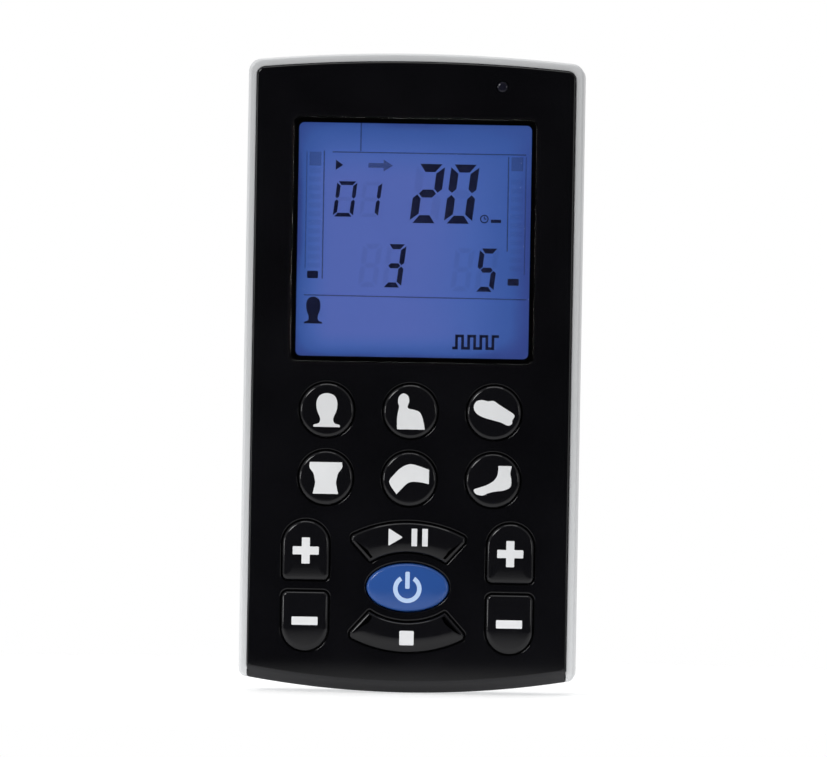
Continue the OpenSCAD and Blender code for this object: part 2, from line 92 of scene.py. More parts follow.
class Build:
    """Points and faces of one mesh, in the flat frame or in any frame that `to` maps to it."""

    def __init__(self, to=None):
        self.points, self.faces, self.to = [], [], to

    def ring(self, pts, z=None):
        start = len(self.points)
        for p in pts:
            q = (p[0], p[1], p[2] if z is None else z)
            self.points.append(self.to(q) if self.to else q)
        return list(range(start, len(self.points)))

    def bridge(self, a, b):
        n = len(a)
        for i in range(n):
            j = (i + 1) % n
            self.faces.append((a[i], a[j], b[j], b[i]))

    def fan(self, ring, tip):
        t = self.ring([tip])[0]
        for i in range(len(ring)):
            self.faces.append((ring[i], ring[(i + 1) % len(ring)], t))

    def cap(self, loops):
        """Flat cap between one outer ring and any hole rings; each loop is (indices, 2-D points)."""
        flat = [i for ids, _ in loops for i in ids]
        tris = tessellate_polygon([[Vector((p[0], p[1], 0)) for p in pts] for _, pts in loops])
        for t in tris:
            self.faces.append(tuple(flat[i] for i in t))

    def skin(self, ids, pts, height, step):
        """Curved cap inside one ring, with inner points on a triangular grid."""
        pts = np.array(pts)[:, :2]
        inner = inside_points(pts, step)
        coords = [Vector(p) for p in pts] + [Vector(p) for p in inner]
        n = len(pts)
        out = delaunay_2d_cdt(coords, [], [list(range(n))], 1, 1e-6)
        extra = self.ring([(p[0], p[1], height(p[0], p[1])) for p in inner])
        where = {}
        for k, origin in enumerate(out[3]):
            where[k] = (ids + extra)[origin[0]] if origin else None
        for face in out[2]:
            f = [where[k] for k in face]
            if None not in f and len(set(f)) == 3:
                self.faces.append(tuple(f))

    def make(self, name, materials=(), smooth=35):
        bm = bmesh.new()
        vs = [bm.verts.new(put(p)) for p in self.points]
        for f in self.faces:
            try:
                bm.faces.new([vs[i] for i in f])
            except ValueError:
                pass
        bmesh.ops.remove_doubles(bm, verts=bm.verts, dist=1e-4 * MM)
        bmesh.ops.dissolve_degenerate(bm, edges=bm.edges, dist=1e-5 * MM)
        loose = [v for v in bm.verts if not v.link_faces]
        bmesh.ops.delete(bm, geom=loose, context="VERTS")
        bmesh.ops.recalc_face_normals(bm, faces=bm.faces)
        mesh = bpy.data.meshes.new(name)
        bm.to_mesh(mesh)
        bm.free()
        return finish_object(name, mesh, materials, smooth)


def finish_object(name, mesh, materials, smooth=35):
    obj = bpy.data.objects.new(name, mesh)
    bpy.context.scene.collection.objects.link(obj)
    for m in materials:
        mesh.materials.append(m)
    shade(mesh, smooth)
    return obj


def shade(mesh, angle):
    mesh.polygons.foreach_set("use_smooth", [True] * len(mesh.polygons))
    mesh.set_sharp_from_angle(angle=math.radians(angle))


def weight_normals(obj):
    """Keeps large flat faces flat beside their rounded edges."""
    mod = obj.modifiers.new("normals", "WEIGHTED_NORMAL")
    mod.mode, mod.weight, mod.keep_sharp = "FACE_AREA", 60, True
    return obj


def inside_points(poly, step):
    """Points of a triangular grid that lie inside a polygon and clear of its edge."""
    lo, hi = poly.min(axis=0), poly.max(axis=0)
    rows = []
    y, odd = lo[1] + step / 2, 0
    while y < hi[1]:
        xs = np.arange(lo[0] + step / 2 + odd * step / 2, hi[0], step)
        rows += [(x, y) for x in xs]
        y += step * 0.866
        odd = 1 - odd
    if not rows:
        return []
    pts = np.array(rows)
    a, b = poly, np.roll(poly, -1, axis=0)
    inside = np.zeros(len(pts), bool)
    near = np.full(len(pts), 1e9)
    for (x0, y0), (x1, y1) in zip(a, b):
        crosses = (y0 > pts[:, 1]) != (y1 > pts[:, 1])
        if abs(y1 - y0) > 1e-12:
            xc = (x1 - x0) * (pts[:, 1] - y0) / (y1 - y0) + x0
            inside ^= crosses & (pts[:, 0] < xc)
        d = np.array([x1 - x0, y1 - y0])
        length = max(d @ d, 1e-12)
        t = np.clip(((pts - (x0, y0)) @ d) / length, 0, 1)
        near = np.minimum(near, np.hypot(*(pts - ((x0, y0) + t[:, None] * d)).T))
    return [tuple(p) for p in pts[inside & (near > 0.55 * step)]]


def grown(pts, amount):
    """A closed counter-clockwise outline moved outwards by amount, with mitred corners."""
    p = np.array(pts, float)[:, :2]
    before, after = p - np.roll(p, 1, axis=0), np.roll(p, -1, axis=0) - p

    def outwards(edges):
        length = np.maximum(np.linalg.norm(edges, axis=1), 1e-9)
        return np.stack([edges[:, 1], -edges[:, 0]], 1) / length[:, None]

    m = outwards(before) + outwards(after)
    m /= np.maximum((m * m).sum(1) / 2, 0.3)[:, None]
    return p + amount * m


def arc(cx, cy, r, a0, a1, n):
    return [(cx + r * math.cos(math.radians(a0 + (a1 - a0) * i / n)),
             cy + r * math.sin(math.radians(a0 + (a1 - a0) * i / n))) for i in range(n + 1)]


def ellipse(cx, cy, rx, ry, n=96):
    return [(cx + rx * math.cos(2 * math.pi * i / n), cy + ry * math.sin(2 * math.pi * i / n))
            for i in range(n)]


def circle(cx, cy, r, n=64):
    return ellipse(cx, cy, r, r, n)


def counter_clockwise(pts):
    area = sum(pts[i - 1][0] * pts[i][1] - pts[i][0] * pts[i - 1][1] for i in range(len(pts)))
    return pts if area > 0 else pts[::-1]


def rounded(pts, radius, n=6):
    """Rounds the corners of a closed counter-clockwise polygon; radius is a number or one per corner."""
    out, count = [], len(pts)
    radii = radius if isinstance(radius, (list, tuple)) else [radius] * count
    for i in range(count):
        p = np.array(pts[i], float)
        a, b = np.array(pts[i - 1], float) - p, np.array(pts[(i + 1) % count], float) - p
        la, lb = np.linalg.norm(a), np.linalg.norm(b)
        a, b = a / la, b / lb
        half = math.acos(max(-1, min(1, float(a @ b)))) / 2
        r = radii[i]
        if r <= 0 or half > math.radians(88):
            out.append(tuple(p))
            continue
        t = min(r / math.tan(half), 0.49 * la, 0.49 * lb)
        r = t * math.tan(half)
        c = p + (a + b) / np.linalg.norm(a + b) * (r / math.sin(half))
        s, e = p + a * t - c, p + b * t - c
        a0, a1 = math.atan2(s[1], s[0]), math.atan2(e[1], e[0])
        turn = (a1 - a0 + math.pi) % (2 * math.pi) - math.pi
        out += [(c[0] + r * math.cos(a0 + turn * k / n), c[1] + r * math.sin(a0 + turn * k / n))
                for k in range(n + 1)]
    return out


def box_outline(w, h, cx=0.0, cy=0.0, r=0.0, n=8):
    return rounded([(cx - w / 2, cy - h / 2), (cx + w / 2, cy - h / 2),
                    (cx + w / 2, cy + h / 2), (cx - w / 2, cy + h / 2)], r, n)


def dense(pts, step=0.4):
    """The same outline with no two points further apart than step."""
    out = []
    for i, p in enumerate(pts):
        q = pts[(i + 1) % len(pts)]
        n = max(1, math.ceil(math.hypot(q[0] - p[0], q[1] - p[1]) / step))
        out += [(p[0] + (q[0] - p[0]) * k / n, p[1] + (q[1] - p[1]) * k / n) for k in range(n)]
    return out


def smooth_loop(pts, n=5):
    """Closed Catmull-Rom curve; a point written (x, y, 1) is a sharp corner."""
    out, count = [], len(pts)
    for i in range(count):
        p0, p1, p2, p3 = (np.array(pts[(i + k - 1) % count][:2], float) for k in range(4))
        if len(pts[i]) > 2:
            p0 = p1
        if len(pts[(i + 1) % count]) > 2:
            p3 = p2
        for k in range(n):
            t = k / n
            out.append(tuple(0.5 * (2 * p1 + (p2 - p0) * t + (2 * p0 - 5 * p1 + 4 * p2 - p3) * t ** 2
                                    + (3 * p1 - p0 - 3 * p2 + p3) * t ** 3)))
    return counter_clockwise(out)


def housing_outline(side, top, bottom, r_top, r_bottom):
    """Outline of the housing moved inwards: two big arcs, joined by straight sides."""
    half = BODY_W / 2 - side
    n_end, n_corner = 48, 10

    def end(r_end, r_corner):
        cx = half - r_corner
        cy = math.sqrt((r_end - r_corner) ** 2 - cx * cx)
        a = math.degrees(math.atan2(cy, cx))
        right = arc(cx, cy, r_corner, 0, a, n_corner)
        middle = [(r_end * math.cos(math.radians(b)), r_end * math.sin(math.radians(b)))
                  for b in np.linspace(a, 180 - a, n_end + 1)[1:-1]]
        left = arc(-cx, cy, r_corner, 180 - a, 180, n_corner)
        return right + middle + left

    upper = [(x, y + BODY_H - TOP_R) for x, y in end(TOP_R - top, r_top)]
    lower = [(-x, BOTTOM_R - y) for x, y in end(BOTTOM_R - bottom, r_bottom)]
    return upper + lower


def inset_outline(i):
    return housing_outline(i, i, i, max(0.6, 2.4 - 0.5 * i), max(0.5, 1.4 - 0.3 * i))


def solid(name, rings, holes=(), to=None, materials=(), smooth=35):
    """Closed solid from rings (outline, z) in order, and holes given the same way."""
    b = Build(to)
    loops = [[(b.ring(pts, z), pts) for pts, z in part] for part in [rings, *holes]]
    for part in loops:
        for low, high in zip(part, part[1:]):
            b.bridge(low[0], high[0])
    b.cap([part[0] for part in loops])
    b.cap([part[-1] for part in loops])
    return b.make(name, materials, smooth)


def quarter(n):
    """Steps round a quarter circle, as (1 - cosine, sine) pairs from (0, 0) to (1, 1)."""
    return [(1 - math.cos(math.pi / 2 * k / n), math.sin(math.pi / 2 * k / n)) for k in range(n + 1)]


def edge_rings(pts, z0, z1, r0, r1, n=4):
    """Rings of a straight-sided slab whose lower and upper edges are rounded by r0 and r1."""
    low = [(grown(pts, -r0 * (1 - s)), z0 + r0 * c) for c, s in quarter(n)] if r0 else [(pts, z0)]
    high = [(grown(pts, -r1 * c), z1 - r1 * (1 - s)) for c, s in quarter(n)] if r1 else [(pts, z1)]
    return low + high


def slab(name, pts, z0, z1, r0=0.0, r1=0.0, to=None, materials=(), n=4):
    return solid(name, edge_rings(pts, z0, z1, r0, r1, n), to=to, materials=materials)


def lathe(name, profile, to, materials=(), n=64, closed=False):
    """Turned shape. profile is (radius, height) pairs; closed joins its last point to its first."""
    b = Build(to)
    made = []
    for r, h in profile:
        if r < 1e-6:
            made.append(b.ring([(0, 0, h)]))
        else:
            made.append(b.ring(circle(0, 0, r, n), h))
    pairs = list(zip(made, made[1:])) + ([(made[-1], made[0])] if closed else [])
    for low, high in pairs:
        if len(low) == 1 and len(high) == 1:
            continue
        if len(low) == 1 or len(high) == 1:
            ring, tip = (high, low[0]) if len(low) == 1 else (low, high[0])
            for i in range(n):
                b.faces.append((ring[i], ring[(i + 1) % n], tip))
        else:
            b.bridge(low, high)
    return b.make(name, materials)


def along_y(x, z, y0=0.0, flip=1):
    """Maps a turned shape's height to +y (or -y) of the flat frame at a given x and z."""
    return lambda p: (x + p[0], y0 + flip * p[2], z - flip * p[1])


def along_x(y, z):
    return lambda p: (p[2], y + p[0], z + p[1])


def upright_at(x, y):
    return lambda p: (p[0] + x, p[1] + y, p[2])


def lying(z=0.0):
    """Lays a slab on its side at a given z, so that its height runs along y."""
    return lambda p: (p[0], p[2], p[1] + z)


def tube(name, path, r, materials=()):
    """Round wire along a path of flat-frame points, with domed ends."""
    sides = 12
    b = Build()
    path = [Vector(p) for p in path]
    normal, made = None, []
    for i, p in enumerate(path):
        t = (path[min(i + 1, len(path) - 1)] - path[max(i - 1, 0)]).normalized()
        if normal is None:
            normal = t.orthogonal().normalized()
        normal = (normal - t * normal.dot(t)).normalized()
        side = t.cross(normal)
        made.append(b.ring([tuple(p + r * (math.cos(a) * normal + math.sin(a) * side))
                            for a in np.linspace(0, 2 * math.pi, sides, endpoint=False)]))
    for low, high in zip(made, made[1:]):
        b.bridge(low, high)
    b.fan(made[0], tuple(path[0] + (path[0] - path[1]).normalized() * r * 0.6))
    b.fan(made[-1], tuple(path[-1] + (path[-1] - path[-2]).normalized() * r * 0.6))
    return b.make(name, materials, 60)


def join_solids(target, others, operation):
    """Boolean of a mesh with each other mesh in turn; the others are used up."""
    for other in others:
        mod = target.modifiers.new("cut", "BOOLEAN")
        mod.operation, mod.solver, mod.object = operation, "EXACT", other
        bpy.context.view_layer.update()
        result = bpy.data.meshes.new_from_object(target.evaluated_get(bpy.context.evaluated_depsgraph_get()))
        target.modifiers.clear()
        old = target.data
        target.data = result
        result.name = old.name
        bpy.data.meshes.remove(old)
        bpy.data.objects.remove(other)


def cut(target, *others):
    join_solids(target, others, "DIFFERENCE")


def unite(target, *others):
    join_solids(target, others, "UNION")


def soften(obj, width, keep, angle=40, segments=2):
    """Bevels the sharp edges for which keep(flat-frame middle, direction) is true."""
    bm = bmesh.new()
    bm.from_mesh(obj.data)
    bmesh.ops.remove_doubles(bm, verts=bm.verts, dist=2e-4 * MM)
    bmesh.ops.dissolve_limit(bm, angle_limit=math.radians(0.4), verts=bm.verts, edges=bm.edges)
    limit = math.radians(angle)
    picked = []
    for e in bm.edges:
        if len(e.link_faces) == 2 and e.calc_face_angle(0) > limit:
            a, b = e.verts[0].co, e.verts[1].co
            mid = (a + b) / 2
            p = (mid.x / MM, mid.z / MM, BACK_Y - mid.y / MM)
            d = b - a
            if keep(p, (abs(d.x), abs(d.z), abs(d.y))):
                picked.append(e)
    bmesh.ops.bevel(bm, geom=picked, offset=width * MM, segments=segments, profile=0.5,
                    affect="EDGES", clamp_overlap=True)
    bmesh.ops.recalc_face_normals(bm, faces=bm.faces)
    bm.to_mesh(obj.data)
    bm.free()


def merge(name, objs):
    """Joins separate meshes into one object, keeping their material slots."""
    bpy.ops.object.select_all(action="DESELECT")
    for o in objs:
        o.select_set(True)
    bpy.context.view_layer.objects.active = objs[0]
    bpy.ops.object.join()
    objs[0].name = name
    objs[0].data.name = name
    return objs[0]


def piece(obj, body, slot, *replaced):
    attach(obj, body)
    if replaced:
        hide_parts(*replaced)
    return obj


# ---------------------------------------------------------------- materials

def material(name, color, rough, metal=0.0, spec=0.5):
    m = bpy.data.materials.new(name)
    m.use_nodes = True
    s = m.node_tree.nodes["Principled BSDF"]
    s.inputs["Base Color"].default_value = (*color, 1)
    s.inputs["Roughness"].default_value = rough
    s.inputs["Metallic"].default_value = metal
    s.inputs["Specular IOR Level"].default_value = spec
    m.diffuse_color = (*color, 1)
    return m, m.node_tree, s


def node(tree, kind, **values):
    n = tree.nodes.new(kind)
    for key, value in values.items():
        if hasattr(n, key):
            setattr(n, key, value)
        else:
            n.inputs[key.replace("_", " ")].default_value = value
    return n


def noise(tree, scale, detail=3.0, rough=0.5, stretch=(1, 1, 1)):
    """Noise over the object's own coordinates; scale is in cycles per metre."""
    coords = node(tree, "ShaderNodeTexCoord")
    mapping = node(tree, "ShaderNodeMapping")
    mapping.inputs["Scale"].default_value = stretch
    tree.links.new(coords.outputs["Object"], mapping.inputs["Vector"])
    n = node(tree, "ShaderNodeTexNoise", Scale=scale, Detail=detail, Roughness=rough)
    tree.links.new(mapping.outputs["Vector"], n.inputs["Vector"])
    return n.outputs["Fac"]


def span(tree, value, low, high, from_low=0.3, from_high=0.7, curve="LINEAR"):
    r = node(tree, "ShaderNodeMapRange", interpolation_type=curve)
    r.inputs["From Min"].default_value = from_low
    r.inputs["From Max"].default_value = from_high
    r.inputs["To Min"].default_value = low
    r.inputs["To Max"].default_value = high
    tree.links.new(value, r.inputs["Value"])
    return r.outputs["Result"]


def combine(tree, operation, a, b):
    n = node(tree, "ShaderNodeMath", operation=operation)
    tree.links.new(a, n.inputs[0])
    tree.links.new(b, n.inputs[1])
    return n.outputs[0]


def vary_rough(tree, shader, low, high, scale, detail=4.0):
    tree.links.new(span(tree, noise(tree, scale, detail), low, high), shader.inputs["Roughness"])


def vary_color(tree, shader, a, b, scale, detail=4.0, stretch=(1, 1, 1)):
    ramp = node(tree, "ShaderNodeValToRGB")
    ramp.color_ramp.elements[0].position, ramp.color_ramp.elements[1].position = 0.3, 0.7
    ramp.color_ramp.elements[0].color, ramp.color_ramp.elements[1].color = (*a, 1), (*b, 1)
    tree.links.new(noise(tree, scale, detail, stretch=stretch), ramp.inputs["Fac"])
    tree.links.new(ramp.outputs["Color"], shader.inputs["Base Color"])
    return ramp


def bump(tree, shader, *layers):
    """Each layer is (noise scale, strength, height in mm, detail)."""
    last = None
    for scale, strength, height, detail in layers:
        b = node(tree, "ShaderNodeBump", Strength=strength, Distance=height * MM)
        tree.links.new(noise(tree, scale, detail), b.inputs["Height"])
        if last:
            tree.links.new(last.outputs["Normal"], b.inputs["Normal"])
        last = b
    tree.links.new(last.outputs["Normal"], shader.inputs["Normal"])


def plastic(name, color, rough, texture=0.0, peel=0.0, spread=0.04, spec=0.5, tint=0.06):
    """Moulded plastic: a little colour and gloss variation, spark-eroded grain and moulding ripple."""
    m, t, s = material(name, color, rough, spec=spec)
    vary_color(t, s, tuple(c * (1 - tint) for c in color), tuple(c * (1 + tint) for c in color), 90)
    vary_rough(t, s, max(0.02, rough - spread), rough + spread, 260)
    layers = []
    if peel:
        layers.append((220, peel, 0.02, 2.0))
    if texture:
        layers.append((5200, texture, 0.02, 3.0))
    if layers:
        bump(t, s, *layers)
    return m


def metal(name, color, rough, brushed=(1, 1, 1)):
    m, t, s = material(name, color, rough, metal=1.0)
    vary_color(t, s, tuple(c * 0.9 for c in color), tuple(min(1, c * 1.06) for c in color), 700,
               stretch=brushed)
    vary_rough(t, s, rough * 0.75, rough * 1.35, 1500)
    bump(t, s, (2600, 0.12, 0.01, 3.0))
    return m


def finish_gloss_black():
    """Deep gloss front: base black under a clear, slightly handled surface."""
    m, t, s = material("gloss_black", (0.0035, 0.0035, 0.0045), 0.04, spec=0.28)
    vary_color(t, s, (0.0028, 0.0028, 0.0036), (0.0048, 0.0048, 0.006), 60)
    smear = span(t, noise(t, 45, 5.0, 0.6, (1, 1, 0.35)), 0.025, 0.06)
    t.links.new(smear, s.inputs["Roughness"])
    bump(t, s, (140, 0.05, 0.02, 1.0), (6000, 0.012, 0.01, 2.0))
    return m


def display_blue():
    """Backlit liquid-crystal surface: its glow is purplish at the lower left and bluer to the right, and
    darker along its edges, where the dark band is a painted shadow of the window ledge.
    """
    m, t, s = material("lcd_blue", (0.03, 0.05, 0.16), 0.35, spec=0.3)
    lo, hi = flat_box("display_window")
    coords = node(t, "ShaderNodeTexCoord")
    split = node(t, "ShaderNodeSeparateXYZ")
    t.links.new(coords.outputs["Object"], split.inputs["Vector"])
    # painted shade: this mask falls to nought at each edge of the view and stands for the shadow of the
    # window ledge on the display
    ledge_shade_mask = None
    for axis, edge, reach in (("X", lo[0] + LEDGE, 7), ("X", hi[0] - LEDGE, -24),
                              ("Z", hi[1] - LEDGE, -12), ("Z", lo[1] + LEDGE, 5)):
        dark, bright = (edge - 0.08 * reach) * MM, (edge + reach) * MM
        rise = span(t, split.outputs[axis], 0, 1, dark, bright, "SMOOTHSTEP")
        ledge_shade_mask = combine(t, "MULTIPLY", ledge_shade_mask, rise) if ledge_shade_mask else rise
    # the painted ledge shade, with a little random mottle added
    ledge_shade_and_mottle = combine(t, "ADD", ledge_shade_mask, span(t, noise(t, 55, 2.0), -0.06, 0.06))
    ramp = node(t, "ShaderNodeValToRGB")
    stops = ramp.color_ramp.elements
    # the darkest stops are the painted shadow of the ledge; the lighter stops are the backlight's own tone
    stops[0].color = (0.022, 0.042, 0.19, 1)
    stops[1].color = (0.073, 0.112, 0.365, 1)
    for at, color in ((0.10, (0.030, 0.078, 0.285, 1)), (0.5, (0.050, 0.102, 0.345, 1))):
        stops.new(at).color = color
    t.links.new(ledge_shade_and_mottle, ramp.inputs["Fac"])
    t.links.new(ramp.outputs["Color"], s.inputs["Emission Color"])
    s.inputs["Emission Strength"].default_value = 1.0
    return m


def see_through(mat, alpha):
    mat.node_tree.nodes["Principled BSDF"].inputs["Alpha"].default_value = alpha
    return mat


gloss_black = finish_gloss_black()
edge_satin = plastic("edge_satin", (0.010, 0.010, 0.012), 0.36, texture=0.12, spec=0.36)
key_black = plastic("key_gloss", (0.005, 0.005, 0.0062), 0.09, texture=0.02, peel=0.04, spec=0.3)
key_blue = plastic("key_blue", (0.026, 0.085, 0.31), 0.12, texture=0.02, peel=0.04, spec=0.35)
print_white = plastic("print_white", (0.82, 0.83, 0.84), 0.5, texture=0.15, tint=0.05)
print_blue = plastic("print_pale_blue", (0.50, 0.66, 0.93), 0.45, texture=0.15, tint=0.04)
shell_white = plastic("shell_white", (0.70, 0.71, 0.72), 0.36, texture=0.22, peel=0.06, tint=0.012)
clip_black = plastic("clip_black", (0.014, 0.014, 0.015), 0.44, texture=0.3, peel=0.05)
socket_black = plastic("socket_black", (0.012, 0.012, 0.013), 0.34, texture=0.12, peel=0.05)
lens_clear = plastic("lens_smoke", (0.010, 0.010, 0.018), 0.12, peel=0.03, spec=0.3)
nickel = metal("nickel", (0.68, 0.66, 0.62), 0.2)
steel = metal("screw_steel", (0.5, 0.5, 0.51), 0.34)
gold = metal("gold_contact", (0.75, 0.55, 0.24), 0.25)
lcd_blue = display_blue()
INK = (0.006, 0.012, 0.07)
lcd_ink = plastic("lcd_ink", INK, 0.4)
lcd_ghost = see_through(plastic("lcd_ghost", INK, 0.4), 0.06)
lcd_line = see_through(plastic("lcd_line", INK, 0.4), 0.55)
lcd_soft = see_through(plastic("lcd_soft", INK, 0.4), 0.3)
mask_black = plastic("mask_black", (0.004, 0.004, 0.006), 0.3, texture=0.05)
foam_black = plastic("foam_black", (0.010, 0.010, 0.013), 0.8, texture=0.6)


def window_clear():
    m, t, s = material("window_clear", (1, 1, 1), 0.02, spec=0.4)
    s.inputs["Transmission Weight"].default_value = 1.0
    s.inputs["IOR"].default_value = 1.45
    vary_rough(t, s, 0.0, 0.03, 60)
    return m


clear = window_clear()


# ---------------------------------------------------------------- front cover and window

FLAT = 0.15                                     # flat margin beside a rounded edge


def front_outline(side, bottom):
    return housing_outline(RIM_W + GAP + side, RIM_W + GAP + side, bottom, 1.4, 0.4)


def front_rings():
    """Outer rings of the face: rounded sides, and a bevel along the curved lower edge."""
    soft = 0.35
    bevel = [(0.0, 0.0), (0.12, 0.03), (0.28, 0.14), (0.55, 0.42), (1.05, 0.93), (1.55, 1.44),
             (1.75, 1.66), (1.88, 1.84), (1.96, 2.0), (2.0, 2.2)]
    rings = []
    for up, inset in bevel:
        side = 0.0
        if up > 2 - soft:
            side = soft - math.sqrt(max(0.0, soft ** 2 - (up - 2 + soft) ** 2))
        rings.append((front_outline(side, inset), PLATE_Z + up))
    rings.append((front_outline(soft + FLAT, 2.2 + FLAT), BODY_D))
    return rings


def hole_rings(pts):
    """Rings of a hole through the face, with a rounded front edge."""
    edge = 0.28
    rings = [(pts, PLATE_Z), (pts, BODY_D - edge)]
    rings += [(grown(pts, edge * c), BODY_D - edge + edge * s) for c, s in quarter(4)[1:]]
    return rings + [(grown(pts, edge + FLAT), BODY_D)]


KEY_CLEAR = 0.2
FLANGE = 0.7
POWER_R = (7.7, 4.5)
OVAL_GAP = 2.1
FAN_TOP, FAN_R, FAN_HALF = 12.2, 23.0, 10.7
SIDE_R, SIDE_GAP, SIDE_L = 4.4, 2.1, 11.2
ROUND_KEYS = ["head", "shoulder", "hand", "back", "knee", "foot"]
cluster = centre("key_power")
round_r = half_width("key_head") - FLANGE
key_top = flat_box("key_power")[1][2]


def side_key_outline(cx, end):
    mid = SIDE_GAP / 2 + SIDE_L - SIDE_R
    pts = [(-SIDE_R, SIDE_GAP / 2), (SIDE_R, SIDE_GAP / 2)] + arc(0, mid, SIDE_R, 0, 180, 32)
    pts = rounded(pts, [1.1, 1.1] + [0] * 33)
    if end < 0:
        pts = [(x, -y) for x, y in pts][::-1]
    return [(x + cx, y + cluster[1]) for x, y in pts]


def fan_outline(end):
    rx, ry = POWER_R[0] + OVAL_GAP, POWER_R[1] + OVAL_GAP
    tip_y = 4.55
    top_y = FAN_TOP - FAN_R + math.sqrt(FAN_R ** 2 - FAN_HALF ** 2)
    a_top = math.degrees(math.asin(FAN_HALF / FAN_R))
    upper = arc(0, FAN_TOP - FAN_R, FAN_R, 90 - a_top, 90 + a_top, 28)
    a_low = math.degrees(math.asin(tip_y / ry))
    lower = [(rx * math.cos(math.radians(a)), ry * math.sin(math.radians(a)))
             for a in np.linspace(180 - a_low, a_low, 29)]
    pts = [(FAN_HALF, top_y - 1.0)] + upper + [(-FAN_HALF, top_y - 1.0)] + lower
    radii = [0.9, 0.7] + [0] * 27 + [0.7, 0.9, 0.7] + [0] * 27 + [0.7]
    pts = rounded(pts, radii, 5)
    if end < 0:
        pts = [(-x, -y) for x, y in pts]
    return [(x + cluster[0], y + cluster[1]) for x, y in pts]


key_outlines = {"key_" + k: circle(*centre("key_" + k)[:2], round_r, 72) for k in ROUND_KEYS}
for side_name, side_x in (("left", centre("key_plus_left")[0]), ("right", centre("key_plus_right")[0])):
    key_outlines["key_plus_" + side_name] = side_key_outline(side_x, 1)
    key_outlines["key_minus_" + side_name] = side_key_outline(side_x, -1)
key_outlines["key_mode"] = fan_outline(1)
key_outlines["key_set"] = fan_outline(-1)
key_outlines["key_power"] = ellipse(cluster[0], cluster[1], *POWER_R)

win_lo, win_hi = flat_box("display_window")
win_c = (win_lo + win_hi) / 2
win_w, win_h = win_hi[0] - win_lo[0], win_hi[1] - win_lo[1]
view_w, view_h = win_w - 2 * LEDGE, win_h - 2 * LEDGE
led = centre("led_lens")
led_r = half_width("led_lens")


def front_cover():
    holes = [hole_rings(grown(pts, KEY_CLEAR)) for pts in key_outlines.values()]
    seat = box_outline(win_w + 2 * GAP, win_h + 2 * GAP, win_c[0], win_c[1], 1.5)
    view = box_outline(view_w, view_h, win_c[0], win_c[1], 1.0)
    seat_z = win_lo[2]
    holes.append([(view, PLATE_Z), (view, seat_z - 0.15), (grown(view, 0.15), seat_z), (seat, seat_z),
                  (seat, BODY_D - 0.12), (grown(seat, 0.12), BODY_D), (grown(seat, 0.12 + FLAT), BODY_D)])
    lens_hole = [(0.05, PLATE_Z), (0.05, BODY_D - 0.2), (0.2, BODY_D), (0.2 + FLAT, BODY_D)]
    holes.append([(circle(led[0], led[1], led_r + wider, 40), z) for wider, z in lens_hole])
    cover = solid("front_face", front_rings(), holes, materials=[gloss_black, edge_satin], smooth=30)
    skirt_z, post_z, joined_z = 16.1, 13.3, PLATE_Z + 0.4
    outer, inner = ([(inset_outline(RIM_W + i), z) for z in (skirt_z, joined_z)] for i in (0.2, 1.4))
    skirt = solid("skirt", outer, [inner], materials=[gloss_black])
    posts = [lathe("post", [(0, post_z), (1.9, post_z), (1.9, joined_z), (0, joined_z)], upright_at(x, y),
                   [gloss_black], 32) for x, y in screw_spots()]
    unite(cover, skirt, *posts)
    shade(cover.data, 30)
    for face in cover.data.polygons:            # the bevel along the lower edge has a satin finish
        if face.normal.z < -0.15 and face.normal.y < -0.15 and face.center.z < 6 * MM:
            face.material_index = 1
    return weight_normals(cover)


def screw_spots():
    """Middles of the four case screws, from the box round them."""
    lo, hi = flat_box("case_screws")
    r = SCREW_HEAD_R
    return [(lo[0] + r, lo[1] + r), (hi[0] - r, lo[1] + r), (lo[0] + r, hi[1] - r), (hi[0] - r, hi[1] - r)]


piece(front_cover(), "housing", "front_black", "front_cover")

window = slab("clear_window", box_outline(win_w, win_h, win_c[0], win_c[1], 1.4), win_lo[2], win_hi[2],
              0.1, 0.18, materials=[clear])
piece(window, "housing", "window", "display_window")

lens_z = flat_box("led_lens")[0][2]
lens_profile = [(0, lens_z), (led_r, lens_z), (led_r, BODY_D - 0.25), (led_r * 0.8, BODY_D - 0.09),
                (led_r * 0.45, BODY_D - 0.02), (0, BODY_D)]
lens = lathe("indicator_lens", lens_profile, upright_at(led[0], led[1]), [lens_clear], 40)
piece(lens, "housing", "lens", "led_lens")


# ---------------------------------------------------------------- keys

def crown(node_name, rx, ry, drop):
    c = centre(node_name)
    cx, cy = c[0], c[1]
    return lambda x, y: key_top - 0.02 - drop * (((x - cx) / rx) ** 2 + ((y - cy) / ry) ** 2)


def fan_crown(end):
    """Height over a mode or set key: highest along its curved middle line."""
    def height(x, y):
        v = abs(y - cluster[1])
        mid = 9.3 - 0.02 * (x - cluster[0]) ** 2
        return key_top - 0.03 - 0.028 * (v - mid) ** 2
    return height


def key_piece(name, pts, height, mat, hub, bevel=0.75, drop=0.6, concentric=True):
    lo, hi = flat_box(name)
    flange_top = PLATE_Z - GAP
    b = Build()
    hx, hy = hub
    spoke = [math.atan2(y - hy, x - hx) for x, y in pts]
    stem = [(hx + 1.5 * math.cos(a), hy + 1.5 * math.sin(a)) for a in spoke]
    wide = grown(pts, FLANGE)
    rings = [(stem, lo[2]), (stem, flange_top - 1), (wide, flange_top - 1), (wide, flange_top),
             (pts, flange_top)]
    made = [b.ring(p, z) for p, z in rings]
    for inwards, up in quarter(7):
        last = grown(pts, -bevel * inwards)
        made.append(b.ring([(x, y, height(x, y) - drop * (1 - up) ** 1.1) for x, y in last]))
    c = np.mean(np.array(last), axis=0)
    if concentric:
        for t in (0.9, 0.76, 0.6, 0.42, 0.22):
            made.append(b.ring([(*(c + (p - c) * t), height(*(c + (p - c) * t))) for p in last]))
        b.fan(made[-1], (c[0], c[1], height(*c)))
    else:
        b.skin(made[-1], last, height, 0.75)
    for low, high in zip(made, made[1:]):
        b.bridge(low, high)
    b.cap([(made[0], stem)])
    return b.make(name.replace("key_", "keycap_"), [mat], 32)


